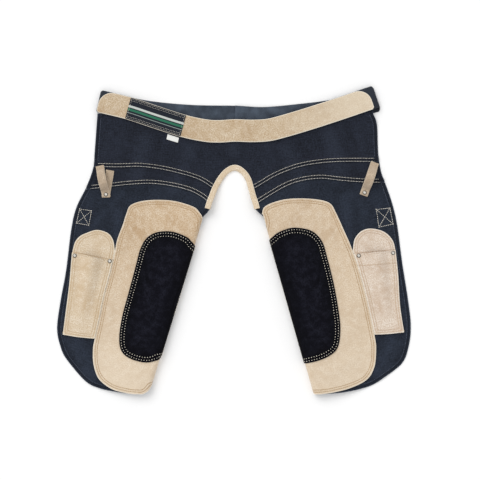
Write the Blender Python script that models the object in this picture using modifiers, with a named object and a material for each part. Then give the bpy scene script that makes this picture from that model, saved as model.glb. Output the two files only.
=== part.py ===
"""A farrier's apron, laid out flat, front side up.

The waist is towards +Y, the legs towards -Y, and the floor is Z = 0. Lengths are in millimetres
until a piece is made, because that is how a maker writes a pattern.
"""
import math
from collections import namedtuple

import bmesh
import bpy
import numpy as np
from mathutils import Vector

MM = 0.001
FLAT_ENOUGH = math.radians(0.03)

# Walls and gaps
GAP = 0.3
DENIM = 1.3
SUEDE = 1.7
WEBBING = 2.2
BINDING = 1.2
LABEL = 1.0

# How high each layer starts over the under side of the denim
ON_DENIM = DENIM + GAP
ON_PANEL = ON_DENIM + SUEDE + GAP

# Waist: the two ends of the back strap lap at the centre, and the yoke lies over them
BELT_WIDTH = 50.0
BELT_LAP = 2 * (WEBBING + GAP)
BELT_END_RISE = 2.0
BELT_END_LENGTH = 50.0
# The right end is turned askew, so that the back lies this much lower than the front
BELT_SLIP = 8.0
YOKE_IN_BELT = 8.0
FACING_END_LEFT = 1.5
FACING_END_RIGHT = 13.0
FACING_ROUND = 30.0
FACING_FOOT_ROUND = 4.0
FACING_INSET = 0.4
LABEL_INSET = 1.0
LAP_CLEAR = 8.0
LAP_SLOPE = 90.0
WAIST_SLOPE = 62.0
BELT_CLEAR = 30.0

# Inner leg edges: the cloth turns under in a round bend, and its suede rests on the floor
BEND_RADIUS = 6.0
STACK = ON_DENIM + SUEDE
BEND_REACH = BEND_RADIUS + STACK
BEND_ARC = math.pi * (BEND_RADIUS + DENIM / 2)
FOLD_HEIGHT = 2 * BEND_RADIUS + STACK
FOLD_SLOPE = 130.0
FOLD_STARTS = -90.0
FOLD_FULL = 30.0
BEND_CLOSES = 45.0
SUEDE_INSIDE_FLAP = 2.0

# Crotch: the binding goes round the edge, so the edge is held off the floor
BINDING_WIDTH = 11.0
BINDING_GAP = 0.4
BINDING_CLEAR = 0.1
CROTCH_LIFT = BINDING + BINDING_GAP + BINDING_CLEAR
CROTCH_SLOPE = 45.0

# Pockets and hammer loops
POCKET_BULGE = 15.0
POCKET_SEAM = 18.0
BULGE_SHAPE = 1.3
BULGE_PITCH = 15.0
BULGE_FIRST = 8.0
LOOP_WIDTH = 18.0
LOOP_HEIGHT = 19.0
LOOP_END = 7.0
LOOP_TURN = 2.0
LOOP_FLAT = 9.0
ARCH_SHAPE = 0.9
RIVET_RADIUS = 4.5
RIVET_HEIGHT = 1.6

# The belt's middle line on the front, from the left fold to the right fold: x, y
BELT_FRONT = [(-297.5, 304.5), (-232, 289), (-174, 270), (-111, 250), (-64, 240), (-33, 238), (2, 240),
              (40, 239), (75, 241), (112, 250), (175, 269), (242, 291), (280, 304), (313, 315)]
# The label's two ends lie at these rows of the table
LABEL_ROWS = (1, 3)
# The same line on the back: x, y
BELT_BACK = [(-297.5, 304.5), (-196, 282), (-97, 272), (2, 270), (68, 267), (158, 275.5), (208, 282),
             (262, 292.5), (315, 307)]
BACK_LEFT_END = 45.0
BACK_RIGHT_END = -5.0

# Seams and edges of the denim, each from its outer end inwards or from the top down: x, y
UPPER_SEAM_LEFT = [(-308, 165), (-251, 164), (-207, 165), (-163, 160), (-119, 150), (-75, 136),
                   (-37, 112)]
UPPER_SEAM_RIGHT = [(319, 176), (244, 176), (189, 173), (145, 165), (112, 154), (84, 141),
                    (51, 121), (33, 112)]
LOWER_SEAM_LEFT = [(-325, 115), (-273, 121), (-229, 126), (-185, 128), (-141, 123), (-97, 112),
                   (-68, 97), (-49, 81)]
LOWER_SEAM_RIGHT = [(331, 130), (282, 131), (233, 135), (189, 139), (145, 133), (112, 121),
                    (74, 99), (43, 79)]
YOKE_SIDE_LEFT = [(-299.5, 277.8), (-303, 237), (-306, 198), (-308, 165)]
YOKE_SIDE_RIGHT = [(306, 277), (312.5, 262), (315.5, 242), (317, 198), (319, 176)]
YOKE_CORNER_LEFT = [(-291, 275.9), (-288, 304)]
YOKE_CORNER_RIGHT = [(306, 277), (302, 316)]
HIP_SIDE_LEFT = [(-308, 165), (-314, 143), (-325, 115)]
HIP_SIDE_RIGHT = [(319, 176), (324, 149), (331, 130)]
LEG_SIDE_LEFT = [(-325, 115), (-347, 70), (-358, 22), (-369, -66), (-381, -132), (-389, -194),
                 (-381, -236), (-367, -264), (-329, -308), (-299, -325), (-255, -334), (-213, -338)]
LEG_SIDE_RIGHT = [(331, 130), (348, 81), (359, 33), (370, -49), (383, -132), (389, -187),
                  (385, -231), (370, -271), (328, -304), (297, -322), (244, -334), (189, -338)]
CROTCH_TOP = [(-37, 112), (-26, 132), (-13, 147), (2, 154), (16, 147), (27, 132), (33, 112)]
CROTCH_LEFT = [(-37, 112), (-44, 94), (-49, 81), (-53, 67)]
CROTCH_RIGHT = [(33, 112), (38, 94), (43, 79), (46, 67)]

# The flap past each fold line: how far past it, how far down it
FLAP_LEFT = [(9, -3), (3, 15), (2, 30), (8, 45), (20, 60), (58, 98), (62, 150), (62, 300),
             (56, 362), (30, 388), (0, 406)]
FLAP_RIGHT = [(13, -4), (3, 15), (2, 30), (8, 45), (20, 60), (58, 98), (62, 150), (62, 409)]
HEM_LEFT = [(0, 406), (-5, 418), (-13, 427), (-26, 431)]
HEM_RIGHT = [(62, 409), (0, 421), (-13, 425)]

# Suede leg panels: the edge shared with the pocket, then the rest: x, y
POCKET_EDGE_LEFT = [(-261, -23), (-272, -71), (-285, -120), (-297, -178), (-306, -217)]
POCKET_EDGE_RIGHT = [(261, -23), (275, -66), (291, -126), (303, -180), (309, -208)]
PANEL_TOP_LEFT = [(-261, -23), (-255, 4), (-244, 35), (-237, 57), (-226, 77), (-191, 87),
                  (-136, 86), (-90, 73), (-75, 60), (-66, 42)]
PANEL_TOP_RIGHT = [(261, -23), (244, 17), (225, 59), (209, 82), (172, 90), (123, 90), (90, 83),
                   (67, 72), (61, 58)]
PANEL_FOOT_LEFT = [(-306, -217), (-310, -240), (-309, -273), (-297, -305), (-268, -327),
                   (-233, -336), (-213, -338)]
PANEL_FOOT_RIGHT = [(309, -208), (313, -238), (309, -280), (291, -308), (255, -325), (218, -334),
                    (189, -338)]

# Black knee patches: top and outer side as x, y, then the inner side as past and down the fold
PATCH_TOP_LEFT = [(-213, -49), (-205, -20), (-191, 4), (-167, 17), (-134, 18), (-103, 6.5),
                  (-93, -3), (-87, -13)]
PATCH_TOP_RIGHT = [(203, -33), (194, -5), (176, 16), (152, 25), (123, 26), (96, 16), (84, 5.5),
                   (78, -2)]
PATCH_OUT_LEFT = [(-213, -49), (-229, -110), (-244, -165), (-251, -211), (-247, -242),
                  (-229, -259), (-196, -268), (-171, -264), (-157, -252)]
PATCH_OUT_RIGHT = [(203, -33), (218, -93), (229, -154), (233, -198), (227, -236), (207, -255),
                   (178, -266), (151, -271)]
PATCH_IN_LEFT = [(0, 84), (5, 91), (6.3, 120), (6, 165), (4, 195), (4, 225), (6, 260), (6.3, 315),
                 (2, 333)]
PATCH_IN_RIGHT = [(2, 71), (6, 80), (6.3, 150), (5, 190), (5, 225), (6.3, 265), (6.3, 335),
                  (3, 350)]

# Pockets: the rounded top of the back, the mouth of the front, the outer side and the foot: x, y
POCKET_TOP_LEFT = [(-356, -31), (-353, -18), (-348.5, -4), (-338, 8.5), (-325, 15), (-301, 22),
                   (-277, 15), (-265, 0), (-261, -23)]
POCKET_TOP_RIGHT = [(356, -27), (349, -1), (330, 18), (302, 25), (281, 20), (265, 2), (261, -23)]
MOUTH_LEFT = [(-355.5, -27.5), (-328, -32.5), (-295, -39.3), (-266, -41)]
MOUTH_RIGHT = [(355, -22), (330, -23.5), (300, -27.5), (264, -28.5)]
POCKET_SIDE_LEFT = [(-356, -31), (-362, -99), (-369, -154), (-376, -208)]
POCKET_SIDE_RIGHT = [(356, -27), (361, -77), (365, -143), (374, -203)]
POCKET_FOOT_LEFT = [(-376, -208), (-343, -214), (-306, -217)]
POCKET_FOOT_RIGHT = [(374, -203), (343, -207), (309, -208)]

# A small ribbon tab under the label, corner by corner: x, y
SIZE_TAB = [(-145.5, 232.3), (-120.5, 224.3), (-123, 213.5), (-148, 221), (-145.5, 232.3)]

# Hammer loops: top end of the front run, top end of the run behind it, rivet. A stacked loop has
# both runs in one line, so that its front end lies on the one behind.
Loop = namedtuple("Loop", "name front_end back_end rivet stacked")
LOOPS = [
    Loop("hammer_loop_left", (-295, 163), (-272, 153), (-281, 100), False),
    Loop("hammer_loop_right", (310, 170), (310, 170), (287, 104), True),
]
POCKET_RIVETS = {
    "rivet_pocket_left_outer": (-349.5, -34.5),
    "rivet_pocket_left_inner": (-272.5, -46.5),
    "rivet_pocket_right_inner": (274, -34.5),
    "rivet_pocket_right_outer": (349.5, -28.5),
}

# Soft folds that the cloth keeps: from, to, half width, height
Fold = namedtuple("Fold", "x0 y0 x1 y1 half_width height")
SOFT_FOLDS = [
    Fold(-3, 208, -1, 193, 26, 2.6),
    Fold(-256, 58, -250, -12, 26, 3.0),
    Fold(246, 92, 250, -4, 26, 3.0),
    Fold(-196, 214, -214, 140, 40, 3.4),
    Fold(-96, 196, -128, 120, 34, 2.4),
    Fold(118, 198, 150, 128, 36, 2.6),
    Fold(214, 222, 232, 150, 42, 3.2),
    Fold(-346, -224, -312, -300, 30, 3.0),
    Fold(350, -222, 318, -290, 30, 3.0),
]

# Colours in linear light, with roughness and metallic
Finish = namedtuple("Finish", "red green blue roughness metallic")
DENIM_BLUE = Finish(0.021, 0.027, 0.045, 0.9, 0.0)
WEBBING_BLUE = Finish(0.030, 0.038, 0.058, 0.85, 0.0)
BUFF_SUEDE = Finish(0.66, 0.52, 0.34, 0.95, 0.0)
BLACK_SUEDE = Finish(0.008, 0.008, 0.012, 0.95, 0.0)
LOOP_SUEDE = Finish(0.34, 0.25, 0.18, 0.9, 0.0)
WOVEN_LABEL = Finish(0.010, 0.022, 0.016, 0.7, 0.0)
WHITE_RIBBON = Finish(0.80, 0.80, 0.78, 0.7, 0.0)
ANTIQUE_NICKEL = Finish(0.30, 0.28, 0.25, 0.4, 1.0)


# Curves

def smooth_step(value):
    """From 0 to 1 with no corner at either end."""
    value = min(max(value, 0.0), 1.0)
    return value * value * (3 - 2 * value)


def smooth_run(rows, steps=2, end_steps=None):
    """A smooth line through the rows of a table, with steps from row to row."""
    rows = [np.array(row, dtype=float) for row in rows]
    ends = [2 * rows[0] - rows[1]] + rows + [2 * rows[-1] - rows[-2]]
    line = []
    spans = list(zip(ends, ends[1:], ends[2:], ends[3:]))
    for number, (before, start, end, after) in enumerate(spans):
        count = end_steps if end_steps and number in (0, len(spans) - 1) else steps
        for step in range(count):
            t = step / count
            bend = (2 * before - 5 * start + 4 * end - after) * t * t
            bend += (3 * start - before - 3 * end + after) * t ** 3
            line.append(start + ((end - before) * t + bend) / 2)
    line.append(rows[-1])
    return line


def outline(*runs):
    """One closed outline from runs that meet end to end."""
    points = []
    for run in runs:
        for point in smooth_run(run) if len(run) > 2 else [np.array(row, dtype=float) for row in run]:
            if not points or np.linalg.norm(point - points[-1]) > 0.5:
                points.append(point)
    if np.linalg.norm(points[0] - points[-1]) < 0.5:
        points.pop()
    return points


def inset(points, distance):
    """The outline moved inwards, which leaves the gap between two pieces at a seam."""
    following = points[1:] + points[:1]
    area = sum(p[0] * q[1] - q[0] * p[1] for p, q in zip(points, following))
    inward = math.copysign(1.0, area)
    normals = []
    for start, end in zip(points, following):
        along = (end - start) / np.linalg.norm(end - start)
        normals.append(np.array((-along[1], along[0])) * inward)
    moved = []
    for point, before, after in zip(points, normals[-1:] + normals[:-1], normals):
        moved.append(point + (before + after) / max(1 + before @ after, 0.4) * distance)
    return moved


def distance_to_line(point, line):
    """The least distance from a point to a line of straight stretches."""
    point = np.array(point)
    least = math.inf
    for start, end in zip(line, line[1:]):
        start, end = np.array(start, dtype=float), np.array(end, dtype=float)
        span = end - start
        share = min(max((point - start) @ span / (span @ span), 0.0), 1.0)
        least = min(least, np.linalg.norm(point - start - span * share))
    return least


# Where the cloth lies

class Leg:
    """A leg's fold line, with places measured out from it and down along it."""

    def __init__(self, top, foot):
        self.top = np.array(top, dtype=float)
        self.down = np.array(foot, dtype=float) - self.top
        self.down /= np.linalg.norm(self.down)
        self.side = math.copysign(1.0, top[0])
        self.out = np.array((-self.down[1], self.down[0])) * self.side

    def measure(self, x, y):
        offset = np.array((x, y)) - self.top
        return offset @ self.out, offset @ self.down

    def point(self, out, down):
        return self.top + self.out * out + self.down * down

    def run(self, rows):
        """A table of past and down the fold line, as pattern points."""
        return [tuple(self.point(-past, down)) for past, down in rows]


LEFT = Leg((-62, 67), (-178, -312))
RIGHT = Leg((60, 67), (174, -335))
CROTCH = CROTCH_LEFT[::-1] + CROTCH_TOP[1:-1] + CROTCH_RIGHT


def under_side(x, y):
    """Height of the denim's under side over the floor, before any edge turns under."""
    belt_x, belt_y = zip(*BELT_FRONT)
    below_belt = np.interp(x, belt_x, belt_y) - y - BELT_WIDTH / 2
    height = BELT_LAP * (1 - smooth_step(below_belt / WAIST_SLOPE))
    from_crotch = distance_to_line((x, y), CROTCH) - BINDING_WIDTH
    height += CROTCH_LIFT * (1 - smooth_step(from_crotch / CROTCH_SLOPE))
    leg = LEFT if x < 0 else RIGHT
    out, down = leg.measure(x, y)
    along_fold = smooth_step((down - FOLD_STARTS) / (FOLD_FULL - FOLD_STARTS))
    height += FOLD_HEIGHT * along_fold * (1 - smooth_step((out - BEND_REACH) / FOLD_SLOPE))
    clear_of_belt = smooth_step(below_belt / BELT_CLEAR)
    for fold in SOFT_FOLDS:
        away = distance_to_line((x, y), [(fold.x0, fold.y0), (fold.x1, fold.y1)])
        height += fold.height * clear_of_belt * (1 - smooth_step(away / fold.half_width))
    return height


class Form:
    """The laid-out cloth over a net of lines. Every layer bends at the same lines, so that layers
    stay parallel. The net's two directions are turned into space by place()."""

    def __init__(self, columns, rows):
        self.columns = columns
        self.rows = rows
        self.spots = [[self.place(column, row) for row in rows] for column in columns]
        self.upward = [[self.normal(column, row) for row in rows] for column in columns]

    def normal(self, column, row, step=0.5):
        across = self.place(column + step, row) - self.place(column - step, row)
        along = self.place(column, row + step) - self.place(column, row - step)
        return across.cross(along).normalized() * self.turn

    def net(self, column, row):
        """Counts of net lines up to a place, with the part of the next one."""
        i = np.interp(column, self.columns, range(len(self.columns)))
        j = np.interp(row, self.rows, range(len(self.rows)))
        return i, j

    def lay(self, i, j, lift):
        """The point in space at a place on the net, raised off the cloth's under side."""
        a = min(int(i), len(self.columns) - 2)
        b = min(int(j), len(self.rows) - 2)
        u, v = i - a, j - b
        if u + v <= 1:
            corners = ((a, b, 1 - u - v), (a + 1, b, u), (a, b + 1, v))
        else:
            corners = ((a + 1, b + 1, u + v - 1), (a + 1, b, 1 - v), (a, b + 1, 1 - u))
        point = Vector((0, 0, 0))
        for column, row, share in corners:
            point += (self.spots[column][row] + self.upward[column][row] * lift) * share
        return point


class TorsoForm(Form):
    """The yoke and hip bands: a net on the floor's x and y, fine round the crotch."""

    turn = 1.0

    def __init__(self, pitch=24.0, crotch_pitch=12.5):
        crotch = np.arange(-75, 75 + 1, crotch_pitch)
        beside = np.arange(75 + pitch, 370, pitch)
        above = np.arange(173, 345, 21)
        columns = np.concatenate([-beside[::-1], crotch, beside])
        super().__init__(columns, np.concatenate([np.arange(60, 165, crotch_pitch), above]))

    def measure(self, x, y):
        return x, y

    def place(self, x, y):
        return Vector((x, y, under_side(x, y)))


class LegForm(Form):
    """A leg: a net along its fold line, fine where the cloth bends round to the under side."""

    def __init__(self, leg, bends=8, pitch=20.0):
        self.leg = leg
        self.turn = -leg.side
        flap = [-66, -40]
        bend = np.linspace(BEND_REACH - BEND_ARC, BEND_REACH, bends + 1)
        outer = BEND_REACH + np.arange(1, 15) * pitch
        closing = [-90, -65, -45, -28, -14, 0, 12, 24, 36, 48, 65]
        rows = closing + list(np.arange(closing[-1] + pitch, 480, 1.3 * pitch))
        super().__init__(np.concatenate([flap, bend, outer]), np.array(rows))

    def measure(self, x, y):
        return self.leg.measure(x, y)

    def place(self, out, down):
        x, y = self.leg.point(max(out, -BEND_REACH), down)
        height = under_side(x, y)
        if out < BEND_REACH:
            # The bend opens towards the crotch, where the edge is flat
            closed = smooth_step(down / BEND_CLOSES)
            length = BEND_REACH - out
            bent = min(length, BEND_ARC * closed)
            angle = math.pi * bent / BEND_ARC
            straight = length - bent
            out = BEND_REACH - BEND_RADIUS * math.sin(angle) - straight * math.cos(angle)
            height -= BEND_RADIUS * (1 - math.cos(angle)) + straight * math.sin(angle)
        x, y = self.leg.point(out, down)
        return Vector((x, y, height))


# Making a piece

def set_up_scene():
    """Remove what is in the scene and make the collection for the apron."""
    for item in list(bpy.data.objects):
        bpy.data.objects.remove(item)
    apron = bpy.data.collections.new("farrier_apron")
    bpy.context.scene.collection.children.link(apron)
    return apron


def finish_material(name, finish):
    material = bpy.data.materials.new(name)
    material.use_nodes = True
    shader = material.node_tree.nodes["Principled BSDF"]
    shader.inputs["Base Color"].default_value = (finish.red, finish.green, finish.blue, 1)
    shader.inputs["Roughness"].default_value = finish.roughness
    shader.inputs["Metallic"].default_value = finish.metallic
    return material


def add_piece(name, bm, finish):
    """Turn a bmesh in millimetres into a closed, named object in metres."""
    bmesh.ops.scale(bm, vec=(MM, MM, MM), verts=bm.verts)
    bmesh.ops.dissolve_limit(bm, angle_limit=FLAT_ENOUGH, verts=bm.verts, edges=bm.edges)
    bmesh.ops.triangulate(bm, faces=bm.faces)
    bmesh.ops.recalc_face_normals(bm, faces=bm.faces)
    mesh = bpy.data.meshes.new(name)
    bm.to_mesh(mesh)
    bm.free()
    mesh.materials.append(finish_material(name, finish))
    piece = bpy.data.objects.new(name, mesh)
    APRON.objects.link(piece)
    return piece


def slice_at(bm, places, direction):
    """Cut the flat pattern along straight lines square to a direction."""
    for place in places:
        everything = bm.verts[:] + bm.edges[:] + bm.faces[:]
        spot = Vector(direction) * (place / Vector(direction).length_squared)
        bmesh.ops.bisect_plane(bm, geom=everything, plane_co=spot, plane_no=direction, dist=1e-5)


def between(values, low, high):
    return [value for value in values if low < value < high]


def cloth_piece(name, points, form, lift, thickness, finish, bulge=None):
    """Cut a flat pattern, give it its thickness and lay it on the form.

    bulge, if any, gives an extra lift at a pattern point."""
    bm = bmesh.new()
    corners = [form.measure(*point) for point in inset(points, GAP / 2)]
    bm.faces.new([bm.verts.new((column, row, 0)) for column, row in corners])
    columns, rows = zip(*corners)
    slice_at(bm, between(form.columns, min(columns), max(columns)), (1, 0, 0))
    slice_at(bm, between(form.rows, min(rows), max(rows)), (0, 1, 0))
    if bulge:
        slice_at(bm, np.arange(min(columns) + BULGE_FIRST, max(columns), BULGE_PITCH), (1, 0, 0))
    for vert in bm.verts:
        vert.co = (*form.net(vert.co.x, vert.co.y), 0)
    diagonals = [vert.co.x + vert.co.y for vert in bm.verts]
    slice_at(bm, range(math.ceil(min(diagonals)), math.ceil(max(diagonals))), (1, 1, 0))
    bmesh.ops.triangulate(bm, faces=bm.faces)
    grown = bmesh.ops.extrude_face_region(bm, geom=bm.faces[:], use_keep_orig=True)
    upper = {item for item in grown["geom"] if isinstance(item, bmesh.types.BMVert)}
    for vert in bm.verts:
        i, j, _ = vert.co
        height = lift + (thickness if vert in upper else 0)
        if bulge:
            column = np.interp(i, range(len(form.columns)), form.columns)
            row = np.interp(j, range(len(form.rows)), form.rows)
            height += bulge(*form.leg.point(column, row))
        vert.co = form.lay(i, j, height)
    return add_piece(name, bm, finish)


def loft(name, rings, finish):
    """A closed solid through rings of as many points each."""
    bm = bmesh.new()
    rings = [[bm.verts.new(point) for point in ring] for ring in rings]
    for ring, following in zip(rings, rings[1:]):
        for a in range(len(ring)):
            b = (a + 1) % len(ring)
            bm.faces.new((ring[a], ring[b], following[b], following[a]))
    bm.faces.new(rings[0][::-1])
    bm.faces.new(rings[-1])
    return add_piece(name, bm, finish)


# Denim body

def make_denim(torso, forms):
    """Yoke, hip bands and legs, felled together at the twin-stitched seams."""
    belt = [(x, y + YOKE_IN_BELT) for x, y in BELT_FRONT[1:-1]]
    top = [YOKE_CORNER_LEFT[1]] + belt + [YOKE_CORNER_RIGHT[1]]
    yoke = outline(YOKE_CORNER_LEFT, top, YOKE_CORNER_RIGHT[::-1], YOKE_SIDE_RIGHT,
                   UPPER_SEAM_RIGHT, CROTCH_TOP[::-1], UPPER_SEAM_LEFT[::-1],
                   YOKE_SIDE_LEFT[::-1])
    cloth_piece("waist_yoke", yoke, torso, 0, DENIM, DENIM_BLUE)
    left_hip = outline(UPPER_SEAM_LEFT, CROTCH_LEFT[:3], LOWER_SEAM_LEFT[::-1],
                       HIP_SIDE_LEFT[::-1])
    right_hip = outline(UPPER_SEAM_RIGHT, CROTCH_RIGHT[:3], LOWER_SEAM_RIGHT[::-1],
                        HIP_SIDE_RIGHT[::-1])
    cloth_piece("hip_band_left", left_hip, torso, 0, DENIM, DENIM_BLUE)
    cloth_piece("hip_band_right", right_hip, torso, 0, DENIM, DENIM_BLUE)
    left_leg = outline(LOWER_SEAM_LEFT, CROTCH_LEFT[2:], LEFT.run(FLAP_LEFT), LEFT.run(HEM_LEFT),
                       LEG_SIDE_LEFT[::-1])
    right_leg = outline(LOWER_SEAM_RIGHT, CROTCH_RIGHT[2:], RIGHT.run(FLAP_RIGHT),
                        RIGHT.run(HEM_RIGHT), LEG_SIDE_RIGHT[::-1])
    cloth_piece("leg_left", left_leg, forms["left"], 0, DENIM, DENIM_BLUE)
    cloth_piece("leg_right", right_leg, forms["right"], 0, DENIM, DENIM_BLUE)


# Suede on the legs

def make_leg_suede(forms):
    """The leg panels, which turn under with the denim, and the black knee patches on them."""
    inner_left = [(past - SUEDE_INSIDE_FLAP, down) for past, down in FLAP_LEFT[3:]]
    inner_right = [(past - SUEDE_INSIDE_FLAP, down) for past, down in FLAP_RIGHT[3:]]
    left = outline(PANEL_TOP_LEFT, LEFT.run([(2, 26), (2, 33)] + inner_left[:-1] + FLAP_LEFT[-1:]),
                   LEFT.run(HEM_LEFT), PANEL_FOOT_LEFT[::-1], POCKET_EDGE_LEFT[::-1])
    right = outline(PANEL_TOP_RIGHT, RIGHT.run([(0, 10), (0, 30)] + inner_right),
                    RIGHT.run([(60, 409)] + HEM_RIGHT[1:]), PANEL_FOOT_RIGHT[::-1],
                    POCKET_EDGE_RIGHT[::-1])
    cloth_piece("leg_panel_left", left, forms["left"], ON_DENIM, SUEDE, BUFF_SUEDE)
    cloth_piece("leg_panel_right", right, forms["right"], ON_DENIM, SUEDE, BUFF_SUEDE)
    left = outline(PATCH_TOP_LEFT, LEFT.run(PATCH_IN_LEFT), PATCH_OUT_LEFT[::-1])
    right = outline(PATCH_TOP_RIGHT, RIGHT.run(PATCH_IN_RIGHT), PATCH_OUT_RIGHT[::-1])
    cloth_piece("knee_patch_left", left, forms["left"], ON_PANEL, SUEDE, BLACK_SUEDE)
    cloth_piece("knee_patch_right", right, forms["right"], ON_PANEL, SUEDE, BLACK_SUEDE)


# Pockets

def make_pocket(side, form, top, mouth, outer, foot, inner):
    """A flat back with a rounded top, and a front that stands open at its mouth."""
    back = outline(top, inner, foot[::-1], outer[::-1])
    cloth_piece(f"pocket_back_{side}", back, form, ON_DENIM, SUEDE, BUFF_SUEDE)
    outer_y, outer_x = zip(*sorted((y, x) for x, y in outer))
    inner_y, inner_x = zip(*sorted((y, x) for x, y in inner))
    mouth_y = np.mean([y for _, y in mouth])
    foot_y = np.mean([y for _, y in foot])

    def bulge(x, y):
        """Nothing at the sewn sides and foot, most in the middle of the mouth."""
        near_outer = abs(x - np.interp(y, outer_y, outer_x)) - POCKET_SEAM
        near_inner = abs(x - np.interp(y, inner_y, inner_x)) - POCKET_SEAM
        if min(near_outer, near_inner) <= 0:
            return 0.0
        across = near_outer / (near_outer + near_inner)
        down = min(max((mouth_y - y) / (mouth_y - foot_y), 0), 1)
        return POCKET_BULGE * (math.sin(math.pi * across) * (1 - down)) ** BULGE_SHAPE

    front = outline(mouth, [mouth[-1]] + inner[1:], foot[::-1], outer[:0:-1] + [mouth[0]])
    cloth_piece(f"pocket_front_{side}", front, form, ON_PANEL, SUEDE, BUFF_SUEDE, bulge)


# Belt

def belt_line(rows, steps=4, end_steps=9):
    """Points, directions along and directions across, of a belt's middle line."""
    line = smooth_run(rows, steps, end_steps)
    along = np.gradient(np.array(line), axis=0)
    along /= np.linalg.norm(along, axis=1)[:, None]
    return [(point, way, np.array((-way[1], way[0]))) for point, way in zip(line, along)]


def belt_ring(point, across, height, outward, thickness, top, foot):
    """One section of the belt: outward is the direction of its outer face."""
    ring = []
    for reach, face in ((top, -1), (top, 1), (foot, 1), (foot, -1)):
        edge = Vector((*(point + across * reach), height))
        ring.append(edge + outward * (face * thickness / 2))
    return ring


def front_height(point):
    """Middle of the strap on the front, which rises a little to each end."""
    from_end = min(abs(point[0] - BELT_FRONT[0][0]), abs(point[0] - BELT_FRONT[-1][0]))
    rise = BELT_END_RISE * (1 - smooth_step(from_end / BELT_END_LENGTH))
    return BELT_LAP + ON_DENIM + WEBBING / 2 + rise


def make_strap():
    """One open strip: from the centre back round the left end, the front and the right end."""
    up = Vector((0, 0, 1))
    half = BELT_WIDTH / 2
    front = belt_line(BELT_FRONT)
    radius = (front_height(BELT_FRONT[0]) - WEBBING / 2) / 2
    turn_in = radius + WEBBING / 2
    rings = []
    back = belt_line(BELT_BACK)

    def back_ring(point, across, lap):
        height = WEBBING / 2 + lap * (WEBBING + GAP)
        rings.append(belt_ring(point, across, height, -up, WEBBING, half, -half))

    def turn(point, way, across, angles, slip=0.0):
        for angle in angles:
            angle = math.radians(angle)
            outward = Vector((*(way * math.cos(angle)), math.sin(angle)))
            spot = point - way * turn_in + way * (radius * math.cos(angle))
            spot = spot - across * (slip * (1 - math.sin(angle)) / 2)
            height = WEBBING / 2 + radius * (1 + math.sin(angle))
            rings.append(belt_ring(spot, across, height, outward, WEBBING, half, -half))

    for point, way, across in reversed(back):
        if BELT_BACK[0][0] + 3 * turn_in < point[0] < BACK_LEFT_END:
            back_ring(point, across, 0)
    point, way, across = front[0]
    turn(point, -way, across, (-90, -60, -30, 0, 30, 60, 90))
    for point, way, across in front:
        if BELT_FRONT[0][0] + turn_in < point[0] < BELT_FRONT[-1][0] - turn_in:
            rings.append(belt_ring(point, across, front_height(point), up, WEBBING, half, -half))
    point, way, across = front[-1]
    turn(point, way, across, (90, 60, 30, 0, -30, -60, -90), BELT_SLIP)
    for point, way, across in reversed(back):
        if BACK_RIGHT_END < point[0] < BELT_BACK[-1][0] - 3 * turn_in:
            lap = 1 - smooth_step((point[0] - BACK_LEFT_END - LAP_CLEAR) / LAP_SLOPE)
            back_ring(point, across, lap)
    loft("belt_strap", rings, WEBBING_BLUE)


def rounded(from_end, radius):
    """How far a rounded corner cuts into the edge, at a distance from the end."""
    if from_end >= radius:
        return 0.0
    return radius - math.sqrt(radius ** 2 - (radius - from_end) ** 2)


def make_belt_covers():
    """The suede facing on the front of the belt, with round upper corners, and its label."""
    up = Vector((0, 0, 1))
    front = belt_line(BELT_FRONT)
    start, end = front[0][0], front[-1][0]
    edge = BELT_WIDTH / 2 - FACING_INSET
    rings = []
    for point, _, across in front:
        from_left = np.linalg.norm(point - start) - FACING_END_LEFT
        from_right = np.linalg.norm(point - end) - FACING_END_RIGHT
        if min(from_left, from_right) < 0:
            continue
        top = edge - rounded(from_left, FACING_ROUND) - rounded(from_right, FACING_ROUND)
        foot = rounded(from_left, FACING_FOOT_ROUND) + rounded(from_right, FACING_FOOT_ROUND) - edge
        height = front_height(point) + WEBBING / 2 + GAP + SUEDE / 2
        rings.append(belt_ring(point, across, height, up, SUEDE, top, foot))
    loft("belt_facing", rings, BUFF_SUEDE)
    rings = []
    for point, _, across in front:
        if not BELT_FRONT[LABEL_ROWS[0]][0] <= point[0] <= BELT_FRONT[LABEL_ROWS[1]][0]:
            continue
        height = front_height(point) + WEBBING / 2 + GAP + SUEDE + GAP + LABEL / 2
        rings.append(belt_ring(point, across, height, up, LABEL, edge - LABEL_INSET,
                               LABEL_INSET - edge))
    loft("label_patch", rings, WOVEN_LABEL)


# Crotch binding

def make_binding():
    """A suede strip folded over the edge between the legs, from one leg's fold to the other's."""
    line = smooth_run(CROTCH, 2)
    along = np.gradient(np.array(line), axis=0)
    along /= np.linalg.norm(along, axis=1)[:, None]
    turn = BINDING_GAP + BINDING
    rings = []
    for point, way in zip(line, along):
        inward = np.array((-way[1], way[0]))
        edge_height = under_side(*point)
        rise = under_side(*(point + inward * BINDING_WIDTH)) - edge_height
        top = DENIM + turn
        section = [
            (BINDING_WIDTH, top + rise), (0, top), (-turn * 0.7, top - 0.4 * turn),
            (-turn, DENIM / 2), (-turn * 0.7, 0.4 * turn - turn), (0, -turn),
            (BINDING_WIDTH, rise - turn), (BINDING_WIDTH, rise - BINDING_GAP),
            (-BINDING_GAP, -BINDING_GAP), (-BINDING_GAP, DENIM + BINDING_GAP),
            (BINDING_WIDTH, DENIM + BINDING_GAP + rise),
        ]
        rings.append([(*(point + inward * reach), edge_height + height)
                      for reach, height in section])
    loft("crotch_binding", rings, BUFF_SUEDE)


# Hammer loops

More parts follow.
